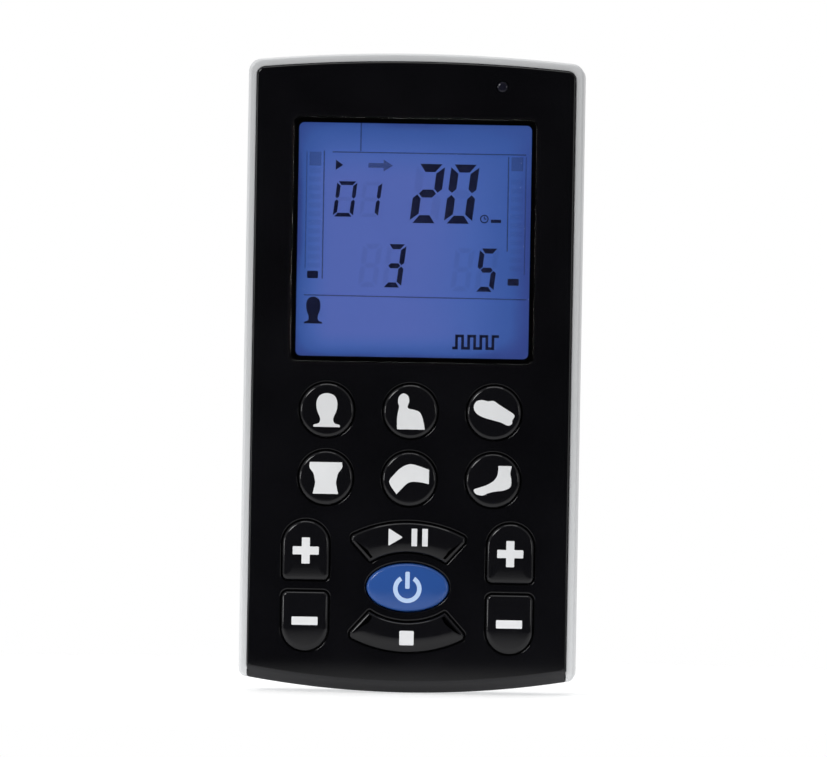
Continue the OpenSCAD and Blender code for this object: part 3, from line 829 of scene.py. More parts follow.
def print_on(name, outline, height, mat):
    """A printed symbol: a thin raised skin that follows the surface under it."""
    lift, step = 0.03, 0.45
    outline = dense(outline)
    b = Build()
    low = b.ring([(x, y, height(x, y) - 0.08) for x, y in outline])
    high = b.ring([(x, y, height(x, y) + lift) for x, y in outline])
    b.bridge(low, high)
    b.skin(high, outline, lambda x, y: height(x, y) + lift, step)
    b.cap([(low, outline)])
    return b.make(name, [mat], 50)


def moved(pts, dx, dy):
    return [(x + dx, y + dy, *rest) for x, y, *rest in pts]


def mirrored(left):
    """An outline from its left half, turned over for the right; a point at x = 0 isn't repeated."""
    return left + [(-p[0], *p[1:]) for p in left[::-1] if p[0]]


# Pictures on the six round keys, drawn about each key's middle
PICTURES = {
    "key_head": smooth_loop(mirrored([
        (-2.5, -3.15, 1), (-2.4, -2.75), (-1.6, -2.5), (-1.25, -2.0), (-1.3, -1.3), (-1.7, -0.4),
        (-1.95, 0.6), (-1.9, 1.8), (-1.3, 2.8), (0, 3.2)]), 6),
    "key_shoulder": smooth_loop([
        (-2.45, -3.35, 1), (-2.5, -1.6), (-2.35, -0.2), (-2.15, 0.9), (-2.35, 1.7), (-2.2, 2.75), (-1.4, 3.4),
        (-0.5, 2.95), (-0.25, 1.9), (-0.55, 1.0), (-0.3, 0.55), (0.7, 0.35), (1.7, -0.05), (2.2, -0.9),
        (2.55, -2.2), (2.75, -3.35, 1)], 6),
    "key_hand": smooth_loop([
        (-3.8, 1.3), (-3.3, 2.15), (-2.3, 2.4), (-1.2, 2.2), (-0.1, 2.25), (0.9, 1.6), (2.3, 0.75),
        (3.55, -0.05), (3.85, -0.6), (3.45, -1.3), (3.35, -2.0), (2.6, -2.3), (1.3, -1.75), (-0.2, -1.35),
        (-1.7, -0.95), (-3.0, -0.35), (-3.7, 0.45)], 6),
    "key_back": smooth_loop(mirrored([
        (-3.0, 2.95, 1), (-3.1, 2.1), (-2.8, 1.5), (-2.35, 0.9), (-2.1, 0.0), (-1.97, -0.95),
        (-2.15, -1.9), (-2.4, -3.0, 1)]), 6),
    "key_knee": smooth_loop([
        (-3.75, -0.6), (-2.8, 0.9), (-1.6, 2.1), (-0.1, 2.8), (1.3, 2.65), (3.7, 1.85, 1), (3.7, -0.85, 1),
        (2.2, -0.55), (0.75, -0.45), (-0.3, -0.75), (-1.3, -1.7), (-2.35, -2.85, 1)], 6),
    "key_foot": smooth_loop([
        (1.0, 2.8, 1), (3.5, 2.8, 1), (3.25, 1.4), (3.45, 0.2), (3.3, -1.1), (2.2, -1.75), (0.6, -2.0),
        (-0.7, -2.3), (-1.9, -2.8), (-3.1, -2.55), (-3.55, -1.75), (-2.6, -1.35), (-1.2, -0.85), (0.1, -0.05),
        (0.85, 1.1)], 6),
}
for key in ROUND_KEYS:
    name = "key_" + key
    c = centre(name)
    rise = crown(name, round_r, round_r, 0.2)
    cap_obj = key_piece(name, key_outlines[name], rise, key_black, (c[0], c[1]))
    piece(cap_obj, name, "key_black", name)
    mark = print_on("symbol_" + key, moved(PICTURES[name], c[0], c[1]), rise, print_white)
    piece(mark, name, "key_black")

GLYPH_AT = 6.6                                  # height of the plus and minus above or below the cluster


def plus_outline():
    half, bar = 2.45, 0.76
    pts = [(-bar, -half), (bar, -half), (bar, -bar), (half, -bar), (half, bar), (bar, bar), (bar, half),
           (-bar, half), (-bar, bar), (-half, bar), (-half, -bar), (-bar, -bar)]
    return rounded(pts, 0.12, 3)


for side_name in ("left", "right"):
    for word, end in (("plus", 1), ("minus", -1)):
        name = f"key_{word}_{side_name}"
        c = centre(name)
        hub_y = cluster[1] + end * (SIDE_GAP + SIDE_L) / 2
        rise = crown(name, SIDE_R, SIDE_L / 2 + 0.4, 0.18)
        piece(key_piece(name, key_outlines[name], rise, key_black, (c[0], hub_y)), name, "key_black", name)
        shape = plus_outline() if end > 0 else box_outline(4.9, 1.55, r=0.15, n=3)
        mark = print_on(f"symbol_{word}_{side_name}", moved(shape, c[0], cluster[1] + end * GLYPH_AT),
                        rise, print_white)
        piece(mark, name, "key_black")

for name, end in (("key_mode", 1), ("key_set", -1)):
    rise = fan_crown(end)
    hub = (cluster[0], cluster[1] + end * 9.5)
    piece(key_piece(name, key_outlines[name], rise, key_black, hub, bevel=0.6, drop=0.55, concentric=False),
          name, "key_black", name)
    if end > 0:
        glyphs = [rounded([(-3.7, -1.65), (-1.0, 0), (-3.7, 1.65)], 0.12, 3),
                  box_outline(1.05, 3.3, 1.15, 0, 0.1, 3), box_outline(1.05, 3.3, 3.15, 0, 0.1, 3)]
        at = (cluster[0], cluster[1] + 9.4)
    else:
        glyphs = [box_outline(2.7, 2.7, 0, 0, 0.2, 3)]
        at = (cluster[0], cluster[1] - 9.5)
    marks = [print_on("mark", moved(g, *at), rise, print_white) for g in glyphs]
    mark = merge("symbol_" + name[4:], marks) if len(marks) > 1 else marks[0]
    mark.name = "symbol_" + name[4:]
    piece(mark, name, "key_black")

rise = crown("key_power", POWER_R[0], POWER_R[1], 0.35)
piece(key_piece("key_power", key_outlines["key_power"], rise, key_blue, (cluster[0], cluster[1]), bevel=0.7),
      "key_power", "key_blue", "key_power")
ring_w, ring_r = 0.42, 2.25
power_arc = arc(0, -0.25, ring_r + ring_w, 90 + 32, 360 + 90 - 32, 48)
power_arc += arc(0, -0.25, ring_r - ring_w, 360 + 90 - 32, 90 + 32, 48)
marks = [print_on("mark", moved(power_arc, cluster[0], cluster[1]), rise, print_blue),
         print_on("mark", moved(box_outline(0.84, 3.2, 0, 1.35, 0.2, 3), cluster[0], cluster[1]), rise,
                  print_blue)]
mark = merge("symbol_power", marks)
piece(mark, "key_power", "key_blue")


# ---------------------------------------------------------------- display

glass_lo, glass_hi = flat_box("lcd_glass")
glass_c = (glass_lo + glass_hi) / 2
glass_w, glass_h = glass_hi[0] - glass_lo[0], glass_hi[1] - glass_lo[1]
panel = slab("lcd_panel", box_outline(glass_w, glass_h, glass_c[0], glass_c[1], 0.3),
             glass_lo[2], glass_hi[2] - 0.08, 0.1, 0.1, materials=[mask_black], n=2)
piece(panel, "housing", "lcd", "lcd_glass")
lcd_top = glass_hi[2] - 0.02
polariser = slab("lcd_polariser", box_outline(glass_w - 1.4, glass_h - 1.4, glass_c[0], glass_c[1], 0.4),
                 glass_hi[2] - 0.1, lcd_top, 0, 0, materials=[lcd_blue])
piece(polariser, "housing", "lcd")


def at_view(u, v):
    """Point of the visible display: u across from the left, v down from the top, both 0 to 1."""
    return win_c[0] - view_w / 2 + u * view_w, win_c[1] + view_h / 2 - v * view_h


class Ink:
    """Flat display shapes of one tone, gathered into one mesh."""

    def __init__(self):
        self.b = Build()

    def area(self, pts):
        pts = counter_clockwise(pts)
        low, high = self.b.ring(pts, lcd_top - 0.01), self.b.ring(pts, lcd_top + 0.015)
        self.b.bridge(low, high)
        self.b.cap([(low, pts)])
        self.b.cap([(high, pts)])

    def rect(self, u0, v0, u1, v1, r=0.08):
        x0, y1 = at_view(u0, v0)
        x1, y0 = at_view(u1, v1)
        self.area(box_outline(x1 - x0, y1 - y0, (x0 + x1) / 2, (y0 + y1) / 2, r, 3))

    def line(self, u0, v0, u1, v1, w=0.24):
        (x0, y0), (x1, y1) = at_view(u0, v0), at_view(u1, v1)
        d = Vector((x1 - x0, y1 - y0)).normalized()
        n = Vector((-d.y, d.x)) * (w / 2)
        self.area([(x0 + n.x, y0 + n.y), (x0 - n.x, y0 - n.y), (x1 - n.x, y1 - n.y), (x1 + n.x, y1 + n.y)])

    def digit(self, u0, v0, u1, v1, t, segments, slant=0.12):
        """Seven-segment figure; segments are letters a to g, from the top round to the middle."""
        x0, y1 = at_view(u0, v0)
        x1, y0 = at_view(u1, v1)
        w, h, g = x1 - x0 - slant * (y1 - y0), y1 - y0, 0.12 * t
        mid = h / 2

        def across(y, inner):
            lo, hi = (y - t / 2, y + t / 2) if inner else (y, y + t)
            if inner:
                return [(t * 0.55 + g, y), (t + g, lo), (w - t - g, lo), (w - t * 0.55 - g, y),
                        (w - t - g, hi), (t + g, hi)]
            if y > mid:
                return [(t + g, lo), (w - t - g, lo), (w - 0.25 * t - g, hi), (0.25 * t + g, hi)]
            return [(0.25 * t + g, lo), (w - 0.25 * t - g, lo), (w - t - g, hi), (t + g, hi)]

        def upright(left, low):
            xo, xi = (0, t) if left else (w, w - t)
            y_end, y_mid = (0.25 * t + g, mid - g) if low else (h - 0.25 * t - g, mid + g)
            s = 1 if low else -1
            return [(xo, y_end), (xi, y_end + s * 0.8 * t), (xi, y_mid - s * 0.5 * t),
                    ((xo + xi) / 2, y_mid), (xo, y_mid - s * 0.45 * t)]

        shapes = {"a": across(h - t, False), "d": across(0, False), "g": across(mid, True),
                  "f": upright(True, False), "e": upright(True, True),
                  "b": upright(False, False), "c": upright(False, True)}
        for s in segments:
            self.area([(x0 + x + slant * y, y0 + y) for x, y in shapes[s]])


SEGMENTS = {"0": "abcdef", "1": "bc", "2": "abged", "3": "abgcd", "5": "afgcd"}
ALL = "abcdefg"
FIGURES = [("2", 0.479, 0.17, 0.630, 0.424, 1.5), ("0", 0.626, 0.17, 0.777, 0.424, 1.5),
           ("0", 0.150, 0.25, 0.255, 0.402, 0.72), ("1", 0.262, 0.25, 0.362, 0.402, 0.72),
           ("3", 0.366, 0.516, 0.470, 0.702, 0.95), ("5", 0.762, 0.528, 0.866, 0.714, 0.95)]
ink, ghost, pale, soft = Ink(), Ink(), Ink(), Ink()
for figure, u0, v0, u1, v1, t in FIGURES:
    on = SEGMENTS[figure]
    ink.digit(u0, v0, u1, v1, t, on)
    ghost.digit(u0, v0, u1, v1, t, [s for s in ALL if s not in on])
ghost.digit(0.262, 0.516, 0.366, 0.702, 0.95, ALL)
ghost.digit(0.658, 0.528, 0.762, 0.714, 0.95, ALL)
for ends in ((0.145, 0.125, 0.975, 0.125), (0.266, 0.0, 0.266, 0.12), (0.11, 0.12, 0.11, 0.67),
             (0.90, 0.135, 0.90, 0.54), (0.033, 0.74, 0.985, 0.745)):
    pale.line(*ends)
for k in range(12):                                 # level bars, faint in both columns
    v = 0.195 + 0.037 * k
    ghost.rect(0.047, v, 0.098, v + 0.022)
    if k > 0:                                       # the right column starts one bar lower
        ghost.rect(0.912, v, 0.963, v + 0.022)
soft.rect(0.047, 0.125, 0.098, 0.185)
soft.rect(0.912, 0.135, 0.963, 0.195)
soft.line(0.036, 0.125, 0.036, 0.625)
soft.line(0.975, 0.135, 0.975, 0.640)
ink.area([at_view(0.160, 0.158), at_view(0.160, 0.202), at_view(0.192, 0.18)])
pale.area([at_view(u, v) for u, v in ((0.300, 0.170), (0.365, 0.170), (0.365, 0.155), (0.405, 0.180),
                                      (0.365, 0.205), (0.365, 0.190), (0.300, 0.190))])
ink.rect(0.045, 0.636, 0.092, 0.668, 0.2)
ink.rect(0.904, 0.656, 0.952, 0.686, 0.2)
# A small clock after the big figures
cx, cy = at_view(0.800, 0.402)
for a in range(0, 360, 30):
    ink.area([(cx + r * math.cos(math.radians(a + d)), cy + r * math.sin(math.radians(a + d)))
              for r, d in ((0.82, 0), (0.82, 30.5), (0.60, 30.5), (0.60, 0))])
ink.line(0.800, 0.402, 0.800, 0.391, 0.2)
ink.line(0.800, 0.402, 0.809, 0.402, 0.2)
ink.rect(0.828, 0.404, 0.872, 0.418, 0.1)
# A pulse train in the lower right corner
wave = [(0.672, 0.957)]
for k in range(7):
    u = 0.690 + 0.026 * k
    wave += [(u, v) for v in ((0.957, 0.905) if k % 2 == 0 else (0.905, 0.957))]
wave.append((0.872, 0.905))
for (u0, v0), (u1, v1) in zip(wave, wave[1:]):
    if u0 == u1:
        ink.rect(u0 - 0.006, min(v0, v1) - 0.006, u0 + 0.006, max(v0, v1) + 0.006, 0.05)
    else:
        ink.rect(u0, v0 - 0.006, u1, v0 + 0.006, 0.05)
hx, hy = at_view(0.074, 0.805)
ink.area([(hx + 0.68 * x, hy + 0.8 * y) for x, y in PICTURES["key_head"]])
for shapes, name, mat in ((ink, "lcd_segments", lcd_ink), (pale, "lcd_lines", lcd_line),
                          (ghost, "lcd_unlit_segments", lcd_ghost), (soft, "lcd_column_marks", lcd_soft)):
    piece(shapes.b.make(name, [mat], 50), "housing", "lcd")


# ---------------------------------------------------------------- rear shell

BACK_R = 4.0
TUB = (21.5, 10.0, 60.6, 13.0)                  # half width, lower end, upper end, depth
door_lo, door_hi = flat_box("battery_door")
DOOR_HALF = door_hi[0] - 1.2                    # the stubs stand 1.2 out of each side
HINGE = (7.3, 1.1)
DOOR_TOP = door_hi[1]
RECESS = 2.2
JACK_X = 14.0
JACK_Z = 9.9
JACK_MOUTH = flat_box("output_jack_left")[1][1]
adaptor_lo, adaptor_hi = flat_box("adaptor_socket")
CHANNEL_Y = BODY_H - 27


def prism(pts, z0, z1):
    return slab("tool", pts, z0, z1)


def rect_prism(x0, x1, y0, y1, z0, z1, r=0.0):
    return prism(box_outline(x1 - x0, y1 - y0, (x0 + x1) / 2, (y0 + y1) / 2, r, 5), z0, z1)


def rod(to, r, h0, h1, n=40):
    return lathe("tool", [(0, h0), (r, h0), (r, h1), (0, h1)], to, n=n)


def groove(half, r, y, z):
    """A round-ended bar along x that cuts a grip groove."""
    profile = [(r * math.sin(t), -half - r * math.cos(t)) for t in np.linspace(0, math.pi / 2, 9)]
    profile += [(x, -h) for x, h in profile[::-1]]
    return lathe("tool", profile, along_x(y, z), n=24)


def rear_cover():
    rings = [(inset_outline(BACK_R + FLAT), 0)]
    rings += [(inset_outline(BACK_R * c), BACK_R * (1 - s)) for c, s in quarter(9)[::-1]]
    lip = 0.6
    rings += [(inset_outline(lip * c), RIM_Z - lip + lip * s) for c, s in quarter(5)]
    rings += [(inset_outline(RIM_W - 0.15), RIM_Z), (inset_outline(RIM_W - 0.04), RIM_Z - 0.05),
              (inset_outline(RIM_W), RIM_Z - 0.18), (inset_outline(RIM_W), 16.0), (inset_outline(2.0), 16.0)]
    rings += [(inset_outline(2 + 3 * c), 2 + 3 * (1 - s)) for c, s in quarter(5)]
    shell = solid("rear_shell", rings, materials=[shell_white])
    spots = screw_spots()
    adds = [rect_prism(-TUB[0] - 1.2, TUB[0] + 1.2, TUB[1] - 1.2, TUB[2] + 1.2, 1, TUB[3] + 1),
            rect_prism(-DOOR_HALF - 1.7, DOOR_HALF + 1.7, 4.3, DOOR_TOP + 1.5, 1.01, RECESS + 1.3),
            rect_prism(-9.2, 9.2, CHANNEL_Y - 1.2, 118, 1.02, 4.5)]
    adds += [rod(upright_at(x, y), 2.4, 1.03, 13.2) for x, y in spots]
    unite(shell, *adds)
    seat_w = DOOR_HALF + 0.25
    cuts = [rect_prism(-TUB[0], TUB[0], TUB[1], TUB[2], -1, TUB[3], 0.8),
            rect_prism(-seat_w, seat_w, HINGE[0] - 1.25, DOOR_TOP + 0.25, -1, RECESS, 0.5),
            rod(along_x(*HINGE), 0.7, -DOOR_HALF - 1.3, DOOR_HALF + 1.3, 24),
            rect_prism(-8, 8, CHANNEL_Y, BODY_H + 1, 1.5, 3.4),
            rect_prism(-6.6, 6.6, CHANNEL_Y, BODY_H + 1.2, -1, 1.6)]
    scoop_r = 9.0
    ball = [(scoop_r * math.sin(t), -scoop_r * math.cos(t)) for t in np.linspace(0, math.pi, 49)]
    cuts.append(lathe("tool", ball, lambda p: (p[0], p[1] + DOOR_TOP + 1, p[2] - 7.8), n=72))
    for x, y in spots:
        cuts.append(lathe("tool", [(0, -1), (1.85, -1), (1.85, 4), (1, 4), (1, 14), (0, 14)],
                          upright_at(x, y), n=40))
    for x in (-JACK_X, JACK_X):
        cuts.append(rod(along_y(x, JACK_Z), 4.3, BODY_H - 8, BODY_H + 1, 64))
    socket_c = (adaptor_lo + adaptor_hi) / 2
    half_h = (adaptor_hi[2] - adaptor_lo[2]) / 2 + 0.2
    cuts.append(slab("tool", box_outline(8.0, 2 * half_h, 0, 0, 1.2, 6), -1, 4.2,
                     to=lying(socket_c[2])))
    cuts.append(rect_prism(-BODY_W / 2 + RIM_W, BODY_W / 2 - RIM_W, -1, 4, PLATE_Z - GAP, RIM_Z + 1))
    cut(shell, *cuts)

    def outside(p, d):
        on_back = p[2] < 0.25
        on_top = p[1] > 116.6 and p[2] < 15.5
        on_foot = p[1] < 1.3 and abs(p[0]) < 6 and 10 < p[2] < 16
        return on_back or on_top or on_foot

    soften(shell, 0.16, outside, angle=35, segments=3)
    shade(shell.data, 32)
    return weight_normals(shell)


piece(rear_cover(), "housing", "shell_white", "rear_cover")


# ---------------------------------------------------------------- battery door

def battery_door():
    slit0, slit1, slit_y = 7.8, 8.6, DOOR_TOP - 11
    w, y0, y1 = DOOR_HALF, HINGE[0], DOOR_TOP
    pts = [(-w, y0), (w, y0), (w, y1), (slit1, y1), (slit1, slit_y), (slit0, slit_y), (slit0, y1),
           (-slit0, y1), (-slit0, slit_y), (-slit1, slit_y), (-slit1, y1), (-w, y1)]
    pts = rounded(pts, [0, 0, 0.5, 0.3, 0.39, 0.39, 0.5, 0.5, 0.39, 0.39, 0.3, 0.5], 5)
    low, high = door_lo[2], door_hi[2]
    door = slab("door", pts, low, high, 0.22, 0.08, materials=[shell_white])
    half_barrel = [(1.0, w), (0.65, w), (0.65, w + 1.05), (0.55, w + 1.15), (0, w + 1.15)]
    barrel = lathe("barrel", [(r, -h) for r, h in half_barrel[::-1]] + half_barrel, along_x(*HINGE),
                   [shell_white], 40)
    unite(door, barrel)
    tools = [groove(5.4, 0.52, DOOR_TOP - 8.6 + 1.6 * k, low - 0.12) for k in range(5)]
    arrow = rounded([(-3.2, DOOR_TOP - 13.2), (0, DOOR_TOP - 17.4), (3.2, DOOR_TOP - 13.2)], 0.4, 4)
    tools.append(prism(arrow, -1, low + 0.5))
    cut(door, *tools)
    soften(door, 0.08, lambda p, d: p[2] < low + 0.05 and p[1] > DOOR_TOP - 19 and abs(p[0]) < 7, angle=40)
    shade(door.data, 32)
    return weight_normals(door)


piece(battery_door(), "battery_door", "shell_white", "battery_door")


# ---------------------------------------------------------------- belt clip

def belt_clip():
    lo, hi = flat_box("belt_clip")
    half = hi[0]
    back, arm_t = lo[2], 2.0
    y0, y1 = lo[1], hi[1]
    front = back + arm_t
    side = [(y0, back + 0.35), (y0 + 6, back + 0.02), (y0 + 22, back + 0.0), (y1 - 2.2, back + 0.0),
            (y1, back + 2.2), (y1, -0.31), (y1 - 8, -0.31), (y1 - 8, front), (y0 + 3.2, front),
            (y0 + 2.2, front + 0.9), (y0, front + 0.9)]
    side = rounded(side, [0.7, 0, 0, 1.8, 0, 0.2, 0.2, 1.6, 0.8, 0.45, 0.7], 6)
    side = counter_clockwise(side)
    arm = slab("clip", side, -half, half, 0.55, 0.55, to=lambda p: (p[2], p[0], p[1]),
               materials=[clip_black], n=5)
    plan = rounded([(-half - 1, y1 + 1), (-half - 1, y1 - 12), (-half, y1 - 14), (-half + 1.2, y0),
                    (half - 1.2, y0), (half, y1 - 14), (half + 1, y1 - 12), (half + 1, y1 + 1)],
                   [0, 0, 20, 5.5, 5.5, 20, 0, 0], 10)
    keep = slab("tool", plan, back - 1, 1)
    join_solids(arm, [keep], "INTERSECT")
    foot = rect_prism(-half + 0.15, half - 0.15, CHANNEL_Y + 0.2, y1, 1.75, hi[2], 0.4)
    neck = rect_prism(-half + 1.55, half - 1.55, CHANNEL_Y + 0.2, y1 - 0.02, -0.4, 1.85, 0.4)
    unite(arm, neck, foot)
    tools = [slab("tool", box_outline(9.0, 20, 0, y0 + 24, 4.45, 10), back - 1, back + 0.3)]
    tools += [groove(4.2, 0.55, y0 + 3.2 + 1.7 * k, back + 0.02) for k in range(5)]
    cut(arm, *tools)
    soften(arm, 0.14, lambda p, d: p[2] < 0 and p[1] < y1 + 1, angle=38, segments=3)
    shade(arm.data, 32)
    arm.name = "belt_clip_body"
    return weight_normals(arm)


piece(belt_clip(), "belt_clip", "clip_black", "belt_clip")


# ---------------------------------------------------------------- sockets and screws

def output_jack(x):
    base, floor = JACK_MOUTH - 14, JACK_MOUTH - 10
    bore, outer, pin_hole = 3.2, 4.2, 1.475
    top = JACK_MOUTH
    profile = [(pin_hole, base), (outer + 0.6, base), (outer + 0.7, base + 0.1), (outer + 0.7, top - 3.1),
               (outer + 0.6, top - 3), (outer, top - 3), (outer, top - 0.3), (outer - 0.09, top - 0.09),
               (outer - 0.3, top), (bore + 0.32, top), (bore + 0.1, top - 0.1), (bore, top - 0.35),
               (bore, floor + 0.3), (bore - 0.3, floor), (pin_hole, floor)]
    return lathe("socket_" + ("left" if x < 0 else "right"), profile, along_y(x, JACK_Z), [socket_black],
                 72, closed=True)


def jack_pin(x):
    floor, tip = JACK_MOUTH - 10, JACK_MOUTH - 1.6
    r = 1.175
    profile = [(0, floor - 5), (r + 0.3, floor - 5), (r + 0.3, floor), (r, floor), (r, tip - 0.7),
               (r * 0.96, tip - 0.42), (r * 0.82, tip - 0.18), (r * 0.55, tip - 0.04), (0, tip)]
    tail = rect_prism(x - 0.5, x + 0.5, floor - 5, floor - 4.4, JACK_Z, 14.8)
    pin = lathe("pin", profile, along_y(x, JACK_Z), [nickel], 48)
    unite(pin, tail)
    return pin


for x, side_name in ((-JACK_X, "left"), (JACK_X, "right")):
    piece(output_jack(x), "housing", "socket_black", "output_jack_" + side_name)
pins = merge("output_pins", [jack_pin(-JACK_X), jack_pin(JACK_X)])
piece(pins, "housing", "bright_metal", "jack_pins")


def adaptor_socket():
    lo, hi = adaptor_lo, adaptor_hi
    w, h, z = hi[0] - lo[0], hi[2] - lo[2], (lo[2] + hi[2]) / 2
    outer = box_outline(w, h, 0, 0, 1.1, 6)
    inner = box_outline(w - 0.6, h - 0.6, 0, 0, 0.85, 6)
    rings = [(outer, hi[1]), (outer, lo[1] + 0.12), (grown(outer, -0.1), lo[1]), (grown(inner, 0.08), lo[1]),
             (inner, lo[1] + 0.1), (inner, 6.4)]
    return solid("adaptor_sleeve", rings, to=lying(z), materials=[nickel])


piece(adaptor_socket(), "housing", "bright_metal", "adaptor_socket")
tongue_lo, tongue_hi = flat_box("adaptor_tongue")
tongue_w, _, tongue_t = tongue_hi - tongue_lo
tongue = slab("adaptor_blade", box_outline(tongue_w, tongue_t, 0, 0, 0.12, 3),
              tongue_lo[1], tongue_hi[1], 0.1, 0,
              to=lying((tongue_lo[2] + tongue_hi[2]) / 2), materials=[socket_black])
strips = [slab("strip", box_outline(0.35, 0.06, -1.6 + 0.8 * k, tongue_lo[2] - 0.01),
               tongue_lo[1] + 0.3, tongue_hi[1] - 0.2, to=lying(), materials=[gold])
          for k in range(5)]
piece(merge("adaptor_blade", [tongue, *strips]), "housing", "socket_black", "adaptor_tongue")


def cross_screw(x, y, z_seat, head_r, head_t, shank_r, z_end, mat):
    top = z_seat - head_t
    profile = [(0, top), (head_r * 0.62, top), (head_r * 0.9, top + 0.18), (head_r, top + 0.5),
               (head_r, z_seat - 0.08), (head_r - 0.08, z_seat), (shank_r, z_seat)]
    turns = int((z_end - z_seat) / 0.8)
    for k in range(turns):
        z = z_seat + 0.4 + 0.8 * k
        profile += [(shank_r * 0.8, z), (shank_r, z + 0.3), (shank_r * 0.8, z + 0.6)]
    profile += [(shank_r * 0.6, z_end - 0.05), (0, z_end)]
    screw = lathe("screw", profile, upright_at(x, y), [mat], 32)
    arms = []
    for a in (20, 110):
        c, s = math.cos(math.radians(a)), math.sin(math.radians(a))
        l0, l1, w0, w1 = head_r * 0.6, head_r * 0.3, 0.24, 0.14
        b = Build()
        up, down = (b.ring([(x + px * c - py * s, y + px * s + py * c)
                            for px, py in ((-l, -w), (l, -w), (l, w), (-l, w))], z)
                    for l, w, z in ((l0, w0, top - 0.1), (l1, w1, top + 0.75)))
        b.bridge(up, down)
        b.faces += [tuple(up), tuple(down)]
        arms.append(b.make("tool"))
    cut(screw, *arms)
    shade(screw.data, 35)
    return screw


case_screws = [cross_screw(x, y, 4.0, SCREW_HEAD_R, 1.3, 0.8, 18.2, steel) for x, y in screw_spots()]
piece(merge("back_screws", case_screws), "housing", "screw_steel", "case_screws")


# ---------------------------------------------------------------- cells, springs and contacts

cell_jacket = plastic("cell_jacket", (0.025, 0.13, 0.22), 0.28, peel=0.012, tint=0.04)
cell_band = plastic("cell_band", (0.62, 0.63, 0.64), 0.3, peel=0.012, tint=0.03)
cell_ring = plastic("cell_seal", (0.75, 0.74, 0.70), 0.5, tint=0.03)


def aaa_cell(i):
    name = f"cell_{i + 1}"
    lo, hi = flat_box(name)
    c, r = (lo + hi) / 2, (hi[0] - lo[0]) / 2
    up = i % 2 == 0
    length = hi[1] - lo[1]
    body = length - 1.0
    profile = [(0, 0.12), (3.3, 0.12), (3.5, 0.0), (4.3, 0.0), (4.5, 0.12), (4.62, 0.42), (4.85, 0.5),
               (r - 0.12, 0.55), (r, 0.75), (r, 9.5), (r, 9.6), (r, body - 1.2), (r - 0.1, body - 0.85),
               (r - 0.32, body - 0.6), (r - 0.5, body - 0.1), (r - 0.75, body), (r - 1.0, body - 0.12),
               (r - 1.15, body - 0.45), (2.7, body - 0.45), (2.6, body - 0.3), (1.95, body - 0.25),
               (1.9, body - 0.05), (1.9, length - 0.25), (1.82, length - 0.07), (1.6, length), (0, length)]
    origin = lo[1] if up else hi[1]
    cell = lathe("battery_" + str(i + 1), profile, along_y(c[0], c[2], origin, 1 if up else -1),
                 [cell_jacket, cell_band, nickel, cell_ring], 72)
    for poly in cell.data.polygons:
        h = poly.center[2] / MM - origin
        h = h if up else -h
        rad = math.hypot(poly.center[0] / MM - c[0], (BACK_Y - poly.center[1] / MM) - c[2])
        if h < 0.7 or rad < 1.94 and h > body - 0.3:
            poly.material_index = 2
        elif h > body - 0.5 and rad < r - 1.1:
            poly.material_index = 3
        elif h > body - 0.7:
            poly.material_index = 2
        elif h < 9.55:
            poly.material_index = 1
    return cell


for i in range(4):
    piece(aaa_cell(i), "housing", "cell_jacket", f"cell_{i + 1}")

CONTACT_T = 0.4
contact_lo, contact_hi = flat_box("cell_contacts")
springs = []
for i in range(4):
    c = centre(f"cell_{i + 1}")
    up = i % 2 == 0
    base = contact_lo[1] + CONTACT_T if up else contact_hi[1] - CONTACT_T
    free = abs((flat_box(f"cell_{i + 1}")[0][1] if up else flat_box(f"cell_{i + 1}")[1][1]) - base)
    wire, turns = 0.33, 4.3
    path = []
    for k in range(int(32 * turns) + 1):
        t = k / (32 * turns)
        a = 2 * math.pi * turns * t
        r = 3.4 + (2.2 - 3.4) * t
        rise = min(1.0, max(0.0, (t - 0.14) / 0.74))
        h = wire + (free - 2 * wire) * rise
        path.append((c[0] + r * math.cos(a), base + (h if up else -h), c[2] + r * math.sin(a)))
    springs.append(tube("spring", path, wire, [nickel]))
piece(merge("battery_springs", springs), "housing", "bright_metal", "cell_springs")

plates = []
cell_x = [centre(f"cell_{i + 1}")[0] for i in range(4)]
half_plate = (contact_hi[2] - contact_lo[2]) / 2
plate_z = (contact_lo[2] + contact_hi[2]) / 2
for low_end, pairs in ((True, ((0, 1), (2, 3))), (False, ((0, 0), (1, 2), (3, 3)))):
    for a, b in pairs:
        x0, x1 = cell_x[a] - half_plate, cell_x[b] + half_plate
        y0 = contact_lo[1] if low_end else contact_hi[1] - CONTACT_T
        plates.append(slab("plate", box_outline(x1 - x0, 2 * half_plate, (x0 + x1) / 2, plate_z, 0.8, 5),
                           y0, y0 + CONTACT_T, 0.08, 0.08, to=lying(), materials=[nickel], n=2))
piece(merge("battery_contacts", plates), "housing", "bright_metal", "cell_contacts")


# ---------------------------------------------------------------- finishes of the CAD nodes that stay

def dress(mat, *names):
    for n in names:
        mesh = nodes[n].data
        mesh.materials.clear()
        mesh.materials.append(mat)


dress(plastic("silicone_grey", (0.16, 0.165, 0.175), 0.62, texture=0.2), "key_membrane")
dress(plastic("carbon_pad", (0.01, 0.01, 0.011), 0.55, texture=0.4), "key_contacts")
dress(foam_black, "display_gasket")
dress(plastic("inner_white", (0.72, 0.74, 0.76), 0.45, texture=0.1), "lcd_holder", "lcd_backlight")
dress(plastic("layered_elastomer", (0.5, 0.12, 0.2), 0.55, texture=0.2), "lcd_contact_strips")
dress(plastic("board_green", (0.006, 0.075, 0.03), 0.3, texture=0.12, tint=0.12), "main_board")
dress(plastic("lamp_body", (0.75, 0.72, 0.55), 0.35), "status_led")
dress(plastic("chip_black", (0.012, 0.012, 0.014), 0.5, texture=0.5), "processor_chip", "buzzer")
dress(nickel, "crystal")
dress(plastic("capacitor_sleeve", (0.012, 0.02, 0.075), 0.25, peel=0.05), "capacitors")
